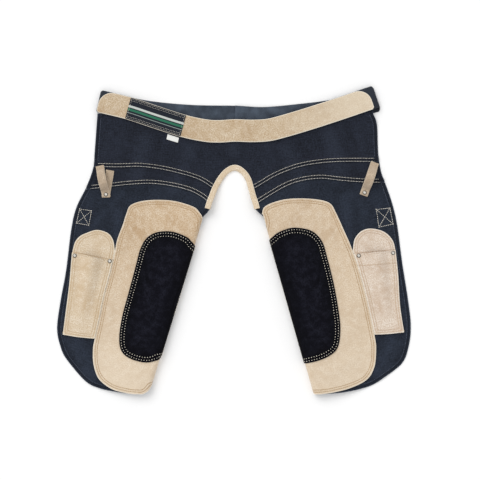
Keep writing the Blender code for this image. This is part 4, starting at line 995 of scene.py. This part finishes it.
for side, leg in LEGS.items():
    top, mouth, outer, foot, inner, suede = POCKETS[side]
    inward = 1 if side == "left" else -1
    back_points = outline(top, inner, foot[::-1], outer[::-1])
    back = lay_cloth(f"pocket_back_suede_{side}", leg, back_points, ON_DENIM, SUEDE, suede,
                     edge_round=SUEDE_EDGE, carried=denim_relief)
    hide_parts(f"pocket_back_{side}")
    top_row = shifted(smooth_run(top), -inward * POCKET_ROWS[0])
    back_stitches = sew(f"pocket_back_stitches_{side}", leg, [top_row],
                        ON_DENIM + SUEDE - SUNK_THREAD, SUEDE_THREAD, denim_relief, Pitch=0.0050,
                        Length=0.0026)
    declare_sheet(leg, back_points)
    front_points = outline(mouth, [mouth[-1]] + inner[1:], foot[::-1], outer[:0:-1] + [mouth[0]])
    bulge = pocket_bulge(mouth, outer, foot, inner)

    def mouth_hem(spots, mouth=mouth):
        """The suede turned in at the mouth."""
        away = distance_to_line(spots, mouth)
        return MOUTH_HEM_RISE * (1 - smooth_step((away - MOUTH_HEM) / 2))

    front = lay_cloth(f"pocket_front_suede_{side}", leg, front_points, ON_PANEL, SUEDE, suede,
                      edge_round=SUEDE_EDGE, carried=bulge, ply=mouth_hem, turned_in=mouth)
    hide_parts(f"pocket_front_{side}")
    below = smooth_run([mouth[-1]] + inner[1:])
    rows = [shifted(below, -inward * far) for far in POCKET_ROWS]
    rows += [shifted(smooth_run(outer), inward * far) for far in POCKET_ROWS]
    rows.append(shifted(smooth_run(foot), inward * FOOT_ROW))
    rows.append(shifted(HEM_LINES[side], inward * MOUTH_HEM_ROW)[2:-2])
    front_stitches = sew(f"pocket_front_stitches_{side}", leg, rows, ON_PANEL + SUEDE - SUNK_THREAD,
                         SUEDE_THREAD, lambda spots: bulge(spots) + mouth_hem(spots), Pitch=0.0050,
                         Length=0.0026)
    if side == "left":
        zigzag = [(-275.5 + 3.4 * (k % 2), -60 - 0.9 * k) for k in range(14)]
        sew("pocket_bar_tack_left", leg, [zigzag], ON_PANEL + SUEDE, CREAM_THREAD,
                              bulge, Pitch=0.0022, Length=0.0024, Width=0.0008)
    declare_sheet(leg, front_points)


# Crotch binding
#
# A strip of suede folded over the raw edge between the legs and sewn through with one row. It
# rides over the ends of the felled seams.


def add_loft(name, rings, material, across, along, depth=None):
    """A closed skin through rings of as many points. across and along give its pattern places."""
    count = len(rings[0])
    points = np.vstack(rings)
    faces = []
    for ring in range(len(rings) - 1):
        for k in range(count):
            a, b = ring * count + k, ring * count + (k + 1) % count
            faces.append((a, b, b + count, a + count))
    faces += [tuple(range(count))[::-1], tuple(range(len(points) - count, len(points)))]
    uv = np.column_stack([np.tile(across, len(rings)), np.repeat(along, count)])
    if depth is None:
        depth = np.full(count, 10.0)
    piece = add_mesh(name, points, faces, uv, np.tile(depth, len(rings)), material)
    solid = bmesh.new()
    solid.from_mesh(piece.data)
    bmesh.ops.recalc_face_normals(solid, faces=solid.faces)
    solid.to_mesh(piece.data)
    solid.free()
    return piece


binding_line = smooth_run(CROTCH, 8)
binding_along = np.gradient(binding_line, axis=0)
binding_along /= np.linalg.norm(binding_along, axis=1)[:, None]
binding_in = np.column_stack([-binding_along[:, 1], binding_along[:, 0]])
binding_reach = np.concatenate([[0], np.cumsum(np.linalg.norm(np.diff(binding_line, axis=0), axis=1))])
turn = BINDING_GAP + BINDING
# The folded strip's section: in from the edge, up from the denim's under side, and whether it
# lies on the front
BINDING_SECTION = [(BINDING_WIDTH, DENIM + turn - 0.35, 1), (BINDING_WIDTH - 0.4, DENIM + turn, 1),
                   (6, DENIM + turn + 0.15, 1), (1.5, DENIM + turn, 1),
                   (-0.6 * turn, DENIM + 0.65 * turn, 1), (-turn, DENIM + 0.1 * turn, 0.5),
                   (-turn, DENIM / 2, 0), (-0.8 * turn, -0.5 * turn, 0), (0, -turn, 0),
                   (BINDING_WIDTH, -turn, 0), (BINDING_WIDTH, -BINDING_GAP, 0),
                   (-BINDING_GAP, -BINDING_GAP, 0), (-BINDING_GAP, DENIM + BINDING_GAP, 1),
                   (BINDING_WIDTH, DENIM + BINDING_GAP, 1)]
edge_height = under_side(binding_line)
binding_rings = [[] for _ in binding_line]
for reach, height, front in BINDING_SECTION:
    spots = binding_line + binding_in * max(reach, 0)
    ground = under_side(spots) if reach > 0 else edge_height
    lifted = denim_relief(spots) * front
    for ring, spot, level in zip(binding_rings, binding_line + binding_in * reach,
                                 ground + height + lifted):
        ring.append((*spot, level))
section_depth = np.array([0, 0.6, 5, 9, 9, 9, 9, 9, 9, 0, 0, 9, 9, 0], dtype=float)
section_reach = np.array([reach for reach, _, _ in BINDING_SECTION], dtype=float)
BINDING_SUEDE = split_suede("binding_split_suede", "#BFA684", "#E2D1B8", "#F0E4D1", "#F4EDDE")
binding = add_loft("crotch_binding_suede", binding_rings, BINDING_SUEDE, section_reach, binding_reach,
                   section_depth)
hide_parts("crotch_binding")
binding_row = binding_line + binding_in * (BINDING_WIDTH - 2.5)
binding_stitches = sew("crotch_binding_stitches", TORSO, [binding_row], DENIM + turn, SUEDE_THREAD,
                       denim_relief, Pitch=0.0050, Length=0.0026)


# Belt strap
#
# One length of dark webbing behind the facing. It turns back at each end of the front and laps at
# the middle of the back, where the strap's right end lies on its left end.

BELT_BACK = [(-297.5, 304.5), (-196, 282), (-97, 272), (2, 270), (68, 267), (158, 275.5), (208, 282),
             (262, 292.5), (315, 307)]
BACK_LEFT_END = 45.0
BACK_RIGHT_END = -5.0
BELT_END_RISE = 2.0
BELT_END_LENGTH = 50.0
LAP_CLEAR = 8.0
LAP_SLOPE = 90.0
TURN_CORNER = 4.0
# The right end is turned askew, so that the back lies this much lower than the front
BELT_SLIP = 8.0


def front_height(x):
    """Middle of the strap on the front, which rises a little to each end."""
    from_end = np.minimum(np.abs(x - BELT_FRONT[0][0]), np.abs(x - BELT_FRONT[-1][0]))
    rise = BELT_END_RISE * (1 - smooth_step(from_end / BELT_END_LENGTH))
    return BELT_LAP + ON_DENIM + WEBBING / 2 + rise


def belt_line(rows):
    """Points, directions along and directions across, of a belt's middle line."""
    line = smooth_run(rows, 12)
    along = np.gradient(line, axis=0)
    along /= np.linalg.norm(along, axis=1)[:, None]
    return list(zip(line, along, np.column_stack([-along[:, 1], along[:, 0]])))


def dark_webbing():
    """Heavy woven webbing: blue-black and greyer along its middle, with a herringbone of ribs and a
    thicker selvedge, and darkened towards each end with painted shade where the strap turns."""
    # The real rib is about 1 mm. It is drawn at 2.5 mm so that it shows.
    rib = 2.5
    material, tree, shader, place = new_material("dark_woven_webbing", 0.8, Sheen_Weight=0.15,
                                                 Specular_IOR_Level=0.3)
    split = add_node(tree, "ShaderNodeSeparateXYZ", {0: place})
    slanted = add_node(tree, "ShaderNodeMath", {0: split.outputs[0], 1: 6.0}, operation="PINGPONG")
    across = add_node(tree, "ShaderNodeMath", {0: split.outputs[1], 1: slanted.outputs[0]},
                      operation="ADD")
    turns = add_node(tree, "ShaderNodeMath", {0: across.outputs[0], 1: 6.283 / rib},
                     operation="MULTIPLY")
    ribs = add_node(tree, "ShaderNodeMath", {0: turns.outputs[0]}, operation="SINE")
    cloudy = add_node(tree, "ShaderNodeTexNoise", {"Vector": place, "Scale": 1 / 28, "Detail": 4.0})
    fine = add_node(tree, "ShaderNodeTexNoise", {"Vector": place, "Scale": 1 / 1.5})
    mixed = add_node(tree, "ShaderNodeMath", {0: ribs.outputs[0], 1: 0.12, 2: cloudy.outputs[0]},
                     operation="MULTIPLY_ADD")
    mixed = add_node(tree, "ShaderNodeMath", {0: fine.outputs[0], 1: 0.3, 2: mixed.outputs[0]},
                     operation="MULTIPLY_ADD")
    shade = add_node(tree, "ShaderNodeMapRange", {"Value": mixed.outputs[0], "From Min": 0.48,
                                                  "From Max": 0.9})
    faded = add_node(tree, "ShaderNodeMix", {0: shade.outputs[0], 6: linear("#262D38"),
                                             7: linear("#4A5563")}, data_type="RGBA")
    # Painted shade: the strap darkens towards each end of the belt, where it turns under
    where = add_node(tree, "ShaderNodeTexCoord")
    from_left = add_node(tree, "ShaderNodeSeparateXYZ", {0: where.outputs["Object"]})
    from_middle = add_node(tree, "ShaderNodeMath", {0: from_left.outputs[0]}, operation="ABSOLUTE")
    turn_shade = add_node(tree, "ShaderNodeMapRange", {"Value": from_middle.outputs[0],
                                                    "From Min": 0.21, "From Max": 0.32})
    colour = add_node(tree, "ShaderNodeMix", {0: turn_shade.outputs[0], 6: faded.outputs[2],
                                              7: linear("#191E27")}, data_type="RGBA")
    tree.links.new(colour.outputs[2], shader.inputs["Base Color"])
    weave = add_node(tree, "ShaderNodeBump", {"Strength": 0.5, "Distance": 0.0003,
                                              "Height": mixed.outputs[0]})
    tree.links.new(weave.outputs[0], shader.inputs["Normal"])
    return material


DARK_WEBBING = dark_webbing()
# The strap's section: across its width, and share of its half thickness
STRAP_SECTION = [(-25.0, -0.3), (-24.7, -0.85), (-24, -1), (-21.5, -0.9), (21.5, -0.9), (24, -1),
                 (24.7, -0.85), (25.0, -0.3), (25.0, 0.3), (24.7, 0.85), (24, 1), (21.5, 0.9),
                 (0, 0.86), (-21.5, 0.9), (-24, 1), (-24.7, 0.85), (-25.0, 0.3)]
strap_rings = []


def add_ring(point, across, height, outward, narrowed=0.0):
    """One section of the strap: outward is the direction of its outer face."""
    strap_rings.append([(*(point + across * (reach - math.copysign(narrowed, reach))), height)
                        + np.array(outward) * share * WEBBING / 2 for reach, share in STRAP_SECTION])


def turn_end(point, way, across, degrees, slip=0.0):
    """The strap's round turn at one end of the front."""
    radius = (front_height(point[0]) - WEBBING / 2) / 2
    for degree in degrees:
        angle = math.radians(degree)
        spot = point - way * (radius + WEBBING / 2) + way * (radius * math.cos(angle))
        spot = spot - across * (slip * (1 - math.sin(angle)) / 2)
        add_ring(spot, across, WEBBING / 2 + radius * (1 + math.sin(angle)),
                 (*(way * math.cos(angle)), math.sin(angle)), TURN_CORNER * math.cos(angle) ** 2)


end_room = (front_height(BELT_FRONT[0][0]) - WEBBING / 2) / 2 + WEBBING / 2
front_line, back_line = belt_line(BELT_FRONT), belt_line(BELT_BACK)
for point, _, across in reversed(back_line):
    if BELT_BACK[0][0] + 3 * end_room < point[0] < BACK_LEFT_END:
        add_ring(point, across, WEBBING / 2, (0, 0, -1))
point, way, across = front_line[0]
turn_end(point, -way, across, range(-90, 91, 20))
for point, _, across in front_line:
    if BELT_FRONT[0][0] + end_room < point[0] < BELT_FRONT[-1][0] - end_room:
        add_ring(point, across, front_height(point[0]), (0, 0, 1))
point, way, across = front_line[-1]
turn_end(point, way, across, range(90, -91, -20), BELT_SLIP)
for point, _, across in reversed(back_line):
    if BACK_RIGHT_END < point[0] < BELT_BACK[-1][0] - 3 * end_room:
        lap = 1 - smooth_step((point[0] - BACK_LEFT_END - LAP_CLEAR) / LAP_SLOPE)
        add_ring(point, across, WEBBING / 2 + lap * (WEBBING + GAP), (0, 0, -1))
strap_middle = np.array([np.mean(ring, axis=0) for ring in strap_rings])
strap_reach = np.concatenate([[0], np.cumsum(np.linalg.norm(np.diff(strap_middle, axis=0), axis=1))])
strap = add_loft("belt_webbing", strap_rings, DARK_WEBBING,
                 np.array([reach for reach, _ in STRAP_SECTION]), strap_reach)
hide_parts("belt_strap")


# Belt facing
#
# A long strip of buff suede sewn over the front of the belt, with its upper corners cut round. Its
# edges are left raw, and a row of thread runs just inside each long one.

FACING_END_LEFT = 1.5
FACING_END_RIGHT = 13.0
FACING_ROUND = 30.0
FACING_INSET = 0.4
FACING_FOOT_ROUND = 4
LOWER_ROW = 1.6
UPPER_ROW = 2.5


class Belt(Torso):
    """The front of the belt: pattern places run along its middle line and up across it."""

    turn = 1.0

    def __init__(self):
        self.line = smooth_run(BELT_FRONT, 12)
        self.reach = np.concatenate([[0], np.cumsum(np.linalg.norm(np.diff(self.line, axis=0), axis=1))])
        along = np.gradient(self.line, axis=0)
        self.along = along / np.linalg.norm(along, axis=1)[:, None]
        self.columns = np.arange(0, self.reach[-1], CLOTH_PITCH)
        self.rows = np.arange(-25, 26, CLOTH_PITCH)

    def place(self, spots):
        far, up = spots.T
        x, y = (np.interp(far, self.reach, self.line[:, k]) for k in (0, 1))
        way_x, way_y = (np.interp(far, self.reach, self.along[:, k]) for k in (0, 1))
        ripple = 0.35 * np.sin(far / 23.0 + 1.3 * np.sin(far / 61.0)) * np.cos(up / 17.0)
        return np.column_stack([x - way_y * up, y + way_x * up,
                                front_height(x) + WEBBING / 2 + GAP + np.maximum(ripple, 0)])


BELT = Belt()
belt_length = BELT.reach[-1]
edge = BELT_WIDTH / 2 - FACING_INSET
quarter = np.radians(np.arange(0, 91, 10))
far_left, far_right = FACING_END_LEFT, belt_length - FACING_END_RIGHT
FACING = np.array(
    [(far_left, FACING_FOOT_ROUND - edge), (far_left + FACING_FOOT_ROUND, -edge),
     (far_right - FACING_FOOT_ROUND, -edge), (far_right, FACING_FOOT_ROUND - edge)]
    + [(far_right - FACING_ROUND * (1 - math.cos(t)), edge - FACING_ROUND * (1 - math.sin(t)))
       for t in quarter]
    + [(far_left + FACING_ROUND * (1 - math.sin(t)), edge - FACING_ROUND * (1 - math.cos(t)))
       for t in quarter])
FACING_SUEDE = split_suede("facing_split_suede", "#A88A65", "#D0BEA3", "#E3D7C2", "#F6EFE0",
                           fade=(0, belt_length - 240, belt_length - 60, 0.5))
facing = lay_cloth("belt_facing_suede", BELT, FACING, 0, SUEDE, FACING_SUEDE, edge_round=SUEDE_EDGE)
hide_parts("belt_facing")
lower_row = [(far_left + FACING_FOOT_ROUND, LOWER_ROW - edge),
             (far_right - FACING_FOOT_ROUND, LOWER_ROW - edge)]
upper_row = [(far_left + FACING_ROUND, edge - UPPER_ROW), (far_right - FACING_ROUND, edge - UPPER_ROW)]
facing_stitches = [
    sew("belt_facing_lower_stitches", BELT, [lower_row], SUEDE - SUNK_THREAD, CREAM_THREAD,
        Width=0.0011),
    sew("belt_facing_upper_stitches", BELT, [upper_row], SUEDE - SUNK_THREAD, SUEDE_THREAD,
        Width=0.0008)]
declare_sheet(BELT, FACING)


# Label and size tab
#
# A woven label sewn across the belt, and a white ribbon tab caught in the seam under it. Both are
# bare of words: the label has plain woven stripes.

LABEL = 1.0
LABEL_ROWS = (2.6, 6.2)
LABEL_ENDS = 3
LABEL_FROM, LABEL_TO = (-232, 289), (-111, 250)
SIZE_TAB = [(-145.5, 232.3), (-120.5, 224.3), (-123, 213.5), (-148, 221)]


def woven_label(low, high):
    """Damask label: dark satin ground with a green band, an off-white one and a fine line woven in."""
    material, tree, shader, place = new_material("dark_damask_label", 0.6, Specular_IOR_Level=0.15)
    split = add_node(tree, "ShaderNodeSeparateXYZ", {0: place})
    height = add_node(tree, "ShaderNodeMapRange", {"Value": split.outputs[1], "From Min": low,
                                                   "From Max": high})
    colour = linear("#1C212B")
    # Each stripe: middle and half width as shares of the label's height, and its colour
    for middle, half, stripe in ((0.60, 0.05, "#C4C9C4"), (0.45, 0.055, "#2C6B53"),
                                 (0.30, 0.014, "#8F9A96")):
        inside_stripe = add_node(tree, "ShaderNodeMath", {0: height.outputs[0], 1: middle, 2: half},
                                 operation="COMPARE")
        mixed = add_node(tree, "ShaderNodeMix", {0: inside_stripe.outputs[0], 6: colour,
                                                 7: linear(stripe)}, data_type="RGBA")
        colour = mixed.outputs[2]
    fine = add_node(tree, "ShaderNodeVectorMath", {0: place, 1: (1 / 0.8, 1 / 3.0, 0)},
                    operation="MULTIPLY")
    satin = add_node(tree, "ShaderNodeTexNoise", {"Vector": fine.outputs[0], "Scale": 1.0})
    shade = add_node(tree, "ShaderNodeMapRange", {"Value": satin.outputs[0], "To Min": 0.55,
                                                  "To Max": 1.35})
    woven = add_node(tree, "ShaderNodeVectorMath", {0: colour, "Scale": shade.outputs[0]},
                     operation="SCALE")
    tree.links.new(woven.outputs[0], shader.inputs["Base Color"])
    bump = add_node(tree, "ShaderNodeBump", {"Strength": 0.4, "Distance": 0.0002,
                                             "Height": satin.outputs[0]})
    tree.links.new(bump.outputs[0], shader.inputs["Normal"])
    return material


def white_ribbon():
    """Plain woven polyester ribbon: clean white with a faint cross rib."""
    material, tree, shader, place = new_material("white_woven_ribbon", 0.6)
    split = add_node(tree, "ShaderNodeSeparateXYZ", {0: place})
    turns = add_node(tree, "ShaderNodeMath", {0: split.outputs[0], 1: 6.283 / 1.2},
                     operation="MULTIPLY")
    ribs = add_node(tree, "ShaderNodeMath", {0: turns.outputs[0]}, operation="SINE")
    shade = add_node(tree, "ShaderNodeMapRange", {"Value": ribs.outputs[0], "From Min": -1.0})
    colour = add_node(tree, "ShaderNodeMix", {0: shade.outputs[0], 6: linear("#F4F4F0"),
                                              7: linear("#D9DAD6")}, data_type="RGBA")
    tree.links.new(colour.outputs[2], shader.inputs["Base Color"])
    return material


label_far = [float(np.interp(spot[0], BELT.line[:, 0], BELT.reach)) for spot in (LABEL_FROM, LABEL_TO)]
label_edge = edge - 1.0
LABEL_CUT = np.array([(label_far[0], -label_edge), (label_far[1], -label_edge),
                      (label_far[1], label_edge), (label_far[0], label_edge)])
label = lay_cloth("label_cloth", BELT, LABEL_CUT, SUEDE + GAP, LABEL,
                  woven_label(-label_edge, label_edge), edge_round=0.3)
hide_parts("label_patch")
start, end = label_far[0] + LABEL_ENDS, label_far[1] - LABEL_ENDS
rows = [[(start, side * (label_edge - away)), (end, side * (label_edge - away))]
        for side in (1, -1) for away in LABEL_ROWS]
rows += [[(far, LABEL_ROWS[0] - label_edge), (far, label_edge - LABEL_ROWS[0])] for far in (start, end)]
label_stitches = sew("label_stitches", BELT, rows, SUEDE + GAP + LABEL, ECRU_THREAD,
                     Pitch=0.0036, Length=0.0024, Width=0.0007)
declare_sheet(BELT, LABEL_CUT)

tab_points = np.array(SIZE_TAB, dtype=float)
tab = lay_cloth("size_tab_ribbon", TORSO, tab_points, ON_DENIM, LABEL, white_ribbon(), edge_round=0.3)
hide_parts("size_tab")
declare_sheet(TORSO, tab_points)


# Hip loops
#
# A strip of grey-brown suede at each hip, doubled back under a rivet at its foot. Its front run
# stands up in an open arch, and its top end is sewn to the denim.

LOOP_WIDTH = 18.0
LOOP_HEIGHT = 19.0
LOOP_END = 7.0
LOOP_TURN = 2.0
LOOP_FLAT = 9.0
ARCH_SHAPE = 0.9
Loop = namedtuple("Loop", "name front_end back_end rivet stacked")
LOOPS = [
    Loop("left", (-295, 163), (-272, 153), (-281, 100), False),
    Loop("right", (310, 170), (310, 170), (287, 104), True),
]
LOOP_SUEDE = split_suede("grey_brown_suede", "#A08C76", "#BDA991", "#CFBDA6", "#D8CBB7")
# The strip's section: share of its half width and of its half thickness
LOOP_SECTION = [(1, -0.7), (1, 0.7), (0.96, 1), (0.5, 1), (0, 1), (-0.5, 1), (-0.96, 1), (-1, 0.7),
                (-1, -0.7), (-0.96, -1), (0, -1), (0.96, -1)]
section_depth = np.array([0, 0, 1.0, 6, 9, 6, 1.0, 0, 0, 1.0, 9, 1.0])
loop_tops = {}

for loop in LOOPS:
    rivet = np.array(loop.rivet, dtype=float)
    front_way = np.array(loop.front_end, dtype=float) - rivet
    back_way = np.array(loop.back_end, dtype=float) - rivet
    front_length, back_length = np.linalg.norm(front_way), np.linalg.norm(back_way)
    front_way, back_way = front_way / front_length, back_way / back_length
    low = ON_DENIM + SUEDE / 2
    high = low + SUEDE + GAP
    top_end = high if loop.stacked else low
    rings, reached = [], []

    def add_section(spot, way, height, slope, outer):
        """One section of the loop's strip, square to its way over the cloth."""
        across = np.array((way[1], -way[0], 0)) * LOOP_WIDTH / 2
        outward = np.array((*(-way * math.sin(slope)), math.cos(slope))) * outer * SUEDE / 2
        ground = denim_relief(np.array([spot]))[0]
        middle = np.array((*spot, height + ground))
        rings.append([middle + across * share + outward * face for share, face in LOOP_SECTION])
        reached.append(middle)

    for reach in np.linspace(back_length, LOOP_TURN - LOOP_END, 10):
        add_section(rivet + back_way * reach, back_way, low, 0, -1)
    turn_way = (front_way + back_way) / np.linalg.norm(front_way + back_way)
    radius = (high - low) / 2
    for degrees in range(-60, 61, 20):
        angle = math.radians(degrees)
        spot = rivet + turn_way * (LOOP_TURN - LOOP_END - radius * math.cos(angle))
        add_section(spot, turn_way, (low + high) / 2 + radius * math.sin(angle),
                    math.pi / 2 - angle, 1)
    arch_start, arch_end = LOOP_FLAT, front_length - LOOP_FLAT

    def arch_height(reach):
        share = np.clip((reach - arch_start) / (arch_end - arch_start), 0, 1)
        ground = high + (top_end - high) * smooth_step(share)
        return ground + LOOP_HEIGHT * math.sin(math.pi * share) ** ARCH_SHAPE

    reaches = [LOOP_TURN - LOOP_END, 0, LOOP_FLAT / 2]
    reaches += list(np.linspace(arch_start, arch_end, 30))
    reaches += [front_length - LOOP_FLAT / 2, front_length]
    for reach in reaches:
        slope = math.atan(arch_height(reach + 0.5) - arch_height(reach - 0.5))
        add_section(rivet + front_way * reach, front_way, arch_height(reach), slope, 1)
    far = np.concatenate([[0], np.cumsum(np.linalg.norm(np.diff(reached, axis=0), axis=1))])
    strip = add_loft(f"hammer_loop_suede_{loop.name}", rings, LOOP_SUEDE,
                     np.array([share * LOOP_WIDTH / 2 for share, _ in LOOP_SECTION]), far,
                     section_depth)
    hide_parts(f"hammer_loop_{loop.name}")
    relief = denim_relief(np.array([rivet]))[0]
    loop_tops[f"rivet_loop_{loop.name}"] = (*rivet, high + SUEDE / 2 + GAP + relief)


# Rivets
#
# Tubular rivets with domed caps in antique nickel: one through the foot of each hip loop, and one
# at each end of a pocket's mouth. Each cap has a rolled rim and a small dimple.

RIVET_RADIUS = 4.5
RIVET_HEIGHT = 1.6
POCKET_RIVETS = {
    "rivet_pocket_left_outer": (-349.5, -34.5),
    "rivet_pocket_left_inner": (-272.5, -46.5),
    "rivet_pocket_right_inner": (274, -34.5),
    "rivet_pocket_right_outer": (349.5, -28.5),
}
# The cap's profile: shares of its radius and of its height
CAP_PROFILE = [(0, 0.72), (0.14, 0.74), (0.24, 0.92), (0.42, 1.0), (0.62, 0.92), (0.78, 0.66),
               (0.84, 0.46), (0.9, 0.5), (0.97, 0.42), (1, 0.2), (0.96, 0.0), (0, 0.0)]


def antique_nickel():
    """Plated brass cap: warm grey metal, black in the rolled rim and rubbed bright on the dome."""
    material, tree, shader, _ = new_material("antique_nickel", 0.38, Metallic=1.0)
    place = add_node(tree, "ShaderNodeTexCoord")
    spots = add_node(tree, "ShaderNodeTexNoise", {"Vector": place.outputs["Object"], "Scale": 700.0,
                                                  "Detail": 3.0})
    colour = add_node(tree, "ShaderNodeMix", {0: spots.outputs[0], 6: linear("#B9B4AB"),
                                              7: linear("#F1EDE4")}, data_type="RGBA")
    spread = add_node(tree, "ShaderNodeAttribute", attribute_name="spread")
    rim = add_node(tree, "ShaderNodeMapRange", {"Value": spread.outputs["Fac"], "From Min": 0.5,
                                                "From Max": 0.8, "To Max": 0.9})
    tarnished = add_node(tree, "ShaderNodeMix", {0: rim.outputs[0], 6: colour.outputs[2],
                                                 7: linear("#2E2A27")}, data_type="RGBA")
    tree.links.new(tarnished.outputs[2], shader.inputs["Base Color"])
    rough = add_node(tree, "ShaderNodeMapRange", {"Value": spots.outputs[0], "To Min": 0.55,
                                                  "To Max": 0.25})
    tree.links.new(rough.outputs[0], shader.inputs["Roughness"])
    return material


def rivet_tree():
    """A turned cap on each point: its profile is spun about the point."""
    tree = bpy.data.node_groups.new("rivet_caps", "GeometryNodeTree")
    for name, kind in (("Points", "NodeSocketGeometry"), ("Cap", "NodeSocketObject"),
                       ("Metal", "NodeSocketMaterial")):
        tree.interface.new_socket(name, in_out="INPUT", socket_type=kind)
    tree.interface.new_socket("Caps", in_out="OUTPUT", socket_type="NodeSocketGeometry")
    given = add_node(tree, "NodeGroupInput").outputs
    cap = add_node(tree, "GeometryNodeObjectInfo", {"Object": given["Cap"]})
    placed = add_node(tree, "GeometryNodeInstanceOnPoints", {"Points": given["Points"],
                                                             "Instance": cap.outputs["Geometry"]})
    real = add_node(tree, "GeometryNodeRealizeInstances", {"Geometry": placed.outputs[0]})
    painted = add_node(tree, "GeometryNodeSetMaterial", {"Geometry": real.outputs[0],
                                                         "Material": given["Metal"]})
    add_node(tree, "NodeGroupOutput", {0: painted.outputs[0]})
    return tree


turned = bmesh.new()
profile = [turned.verts.new((share * RIVET_RADIUS * MM, 0, rise * RIVET_HEIGHT * MM))
           for share, rise in CAP_PROFILE]
lines = [turned.edges.new(pair) for pair in zip(profile, profile[1:])]
bmesh.ops.spin(turned, geom=profile + lines, angle=2 * math.pi, steps=32, axis=(0, 0, 1),
               cent=(0, 0, 0))
bmesh.ops.remove_doubles(turned, verts=turned.verts, dist=1e-6)
bmesh.ops.recalc_face_normals(turned, faces=turned.faces)
for face in turned.faces:
    face.smooth = True
cap_mesh = bpy.data.meshes.new("rivet_cap")
turned.to_mesh(cap_mesh)
turned.free()
spread = cap_mesh.attributes.new("spread", "FLOAT", "POINT")
for point, vertex in zip(spread.data, cap_mesh.vertices):
    point.value = vertex.co.xy.length / (RIVET_RADIUS * MM)
cap_object = bpy.data.objects.new("rivet_cap", cap_mesh)
bpy.context.scene.collection.objects.link(cap_object)
for name, spot in POCKET_RIVETS.items():
    spots = np.array([spot], dtype=float)
    height = under_side(spots)[0] + denim_relief(spots)[0] + ON_PANEL + SUEDE + GAP + MOUTH_HEM_RISE
    loop_tops[name] = (*spot, height)
rivet_points = bpy.data.meshes.new("rivet_points")
rivet_points.from_pydata((np.array(list(loop_tops.values())) * MM).tolist(), [], [])
rivets = grow("rivet_caps_nickel", rivet_points, rivet_tree(), Cap=cap_object, Metal=antique_nickel())
bpy.data.objects.remove(cap_object)
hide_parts(*loop_tops)


# Studio
#
# The apron lies on a plain white floor and is seen from straight above through a long lens, in a
# white room with one wide window at its upper left.

FLOOR_REACH = 6
VIEW_WIDTH = 1.056

bpy.context.scene.view_settings.view_transform = "Standard"
floor_mesh = bpy.data.meshes.new("floor")
floor_mesh.from_pydata([(FLOOR_REACH * x, FLOOR_REACH * y, 0)
                        for x, y in ((-1, -1), (1, -1), (1, 1), (-1, 1))], [], [(0, 1, 2, 3)])
floor = bpy.data.objects.new("floor", floor_mesh)
bpy.context.scene.collection.objects.link(floor)
white = bpy.data.materials.new("matt_white_floor")
white.use_nodes = True
white.node_tree.nodes["Principled BSDF"].inputs["Base Color"].default_value = (0.96, 0.96, 0.96, 1)
white.node_tree.nodes["Principled BSDF"].inputs["Roughness"].default_value = 0.9
floor_mesh.materials.append(white)

world = bpy.data.worlds.new("soft_room")
world.use_nodes = True
world.node_tree.nodes["Background"].inputs["Color"].default_value = (1, 1, 1, 1)
world.node_tree.nodes["Background"].inputs["Strength"].default_value = 0.84
bpy.context.scene.world = world
lamp = bpy.data.lights.new("wide_window", "SUN")
lamp.energy = 1.1
lamp.angle = math.radians(40)
window = bpy.data.objects.new("wide_window", lamp)
window.rotation_euler = Vector((1.0, -1.1, -1.35)).to_track_quat("-Z", "Y").to_euler()
bpy.context.scene.collection.objects.link(window)

lens = bpy.data.cameras.new("camera")
lens.lens = 100.0
camera = bpy.data.objects.new("camera", lens)
camera.location = (0.0134, -0.0002, VIEW_WIDTH * lens.lens / lens.sensor_width)
bpy.context.scene.collection.objects.link(camera)
bpy.context.scene.camera = camera
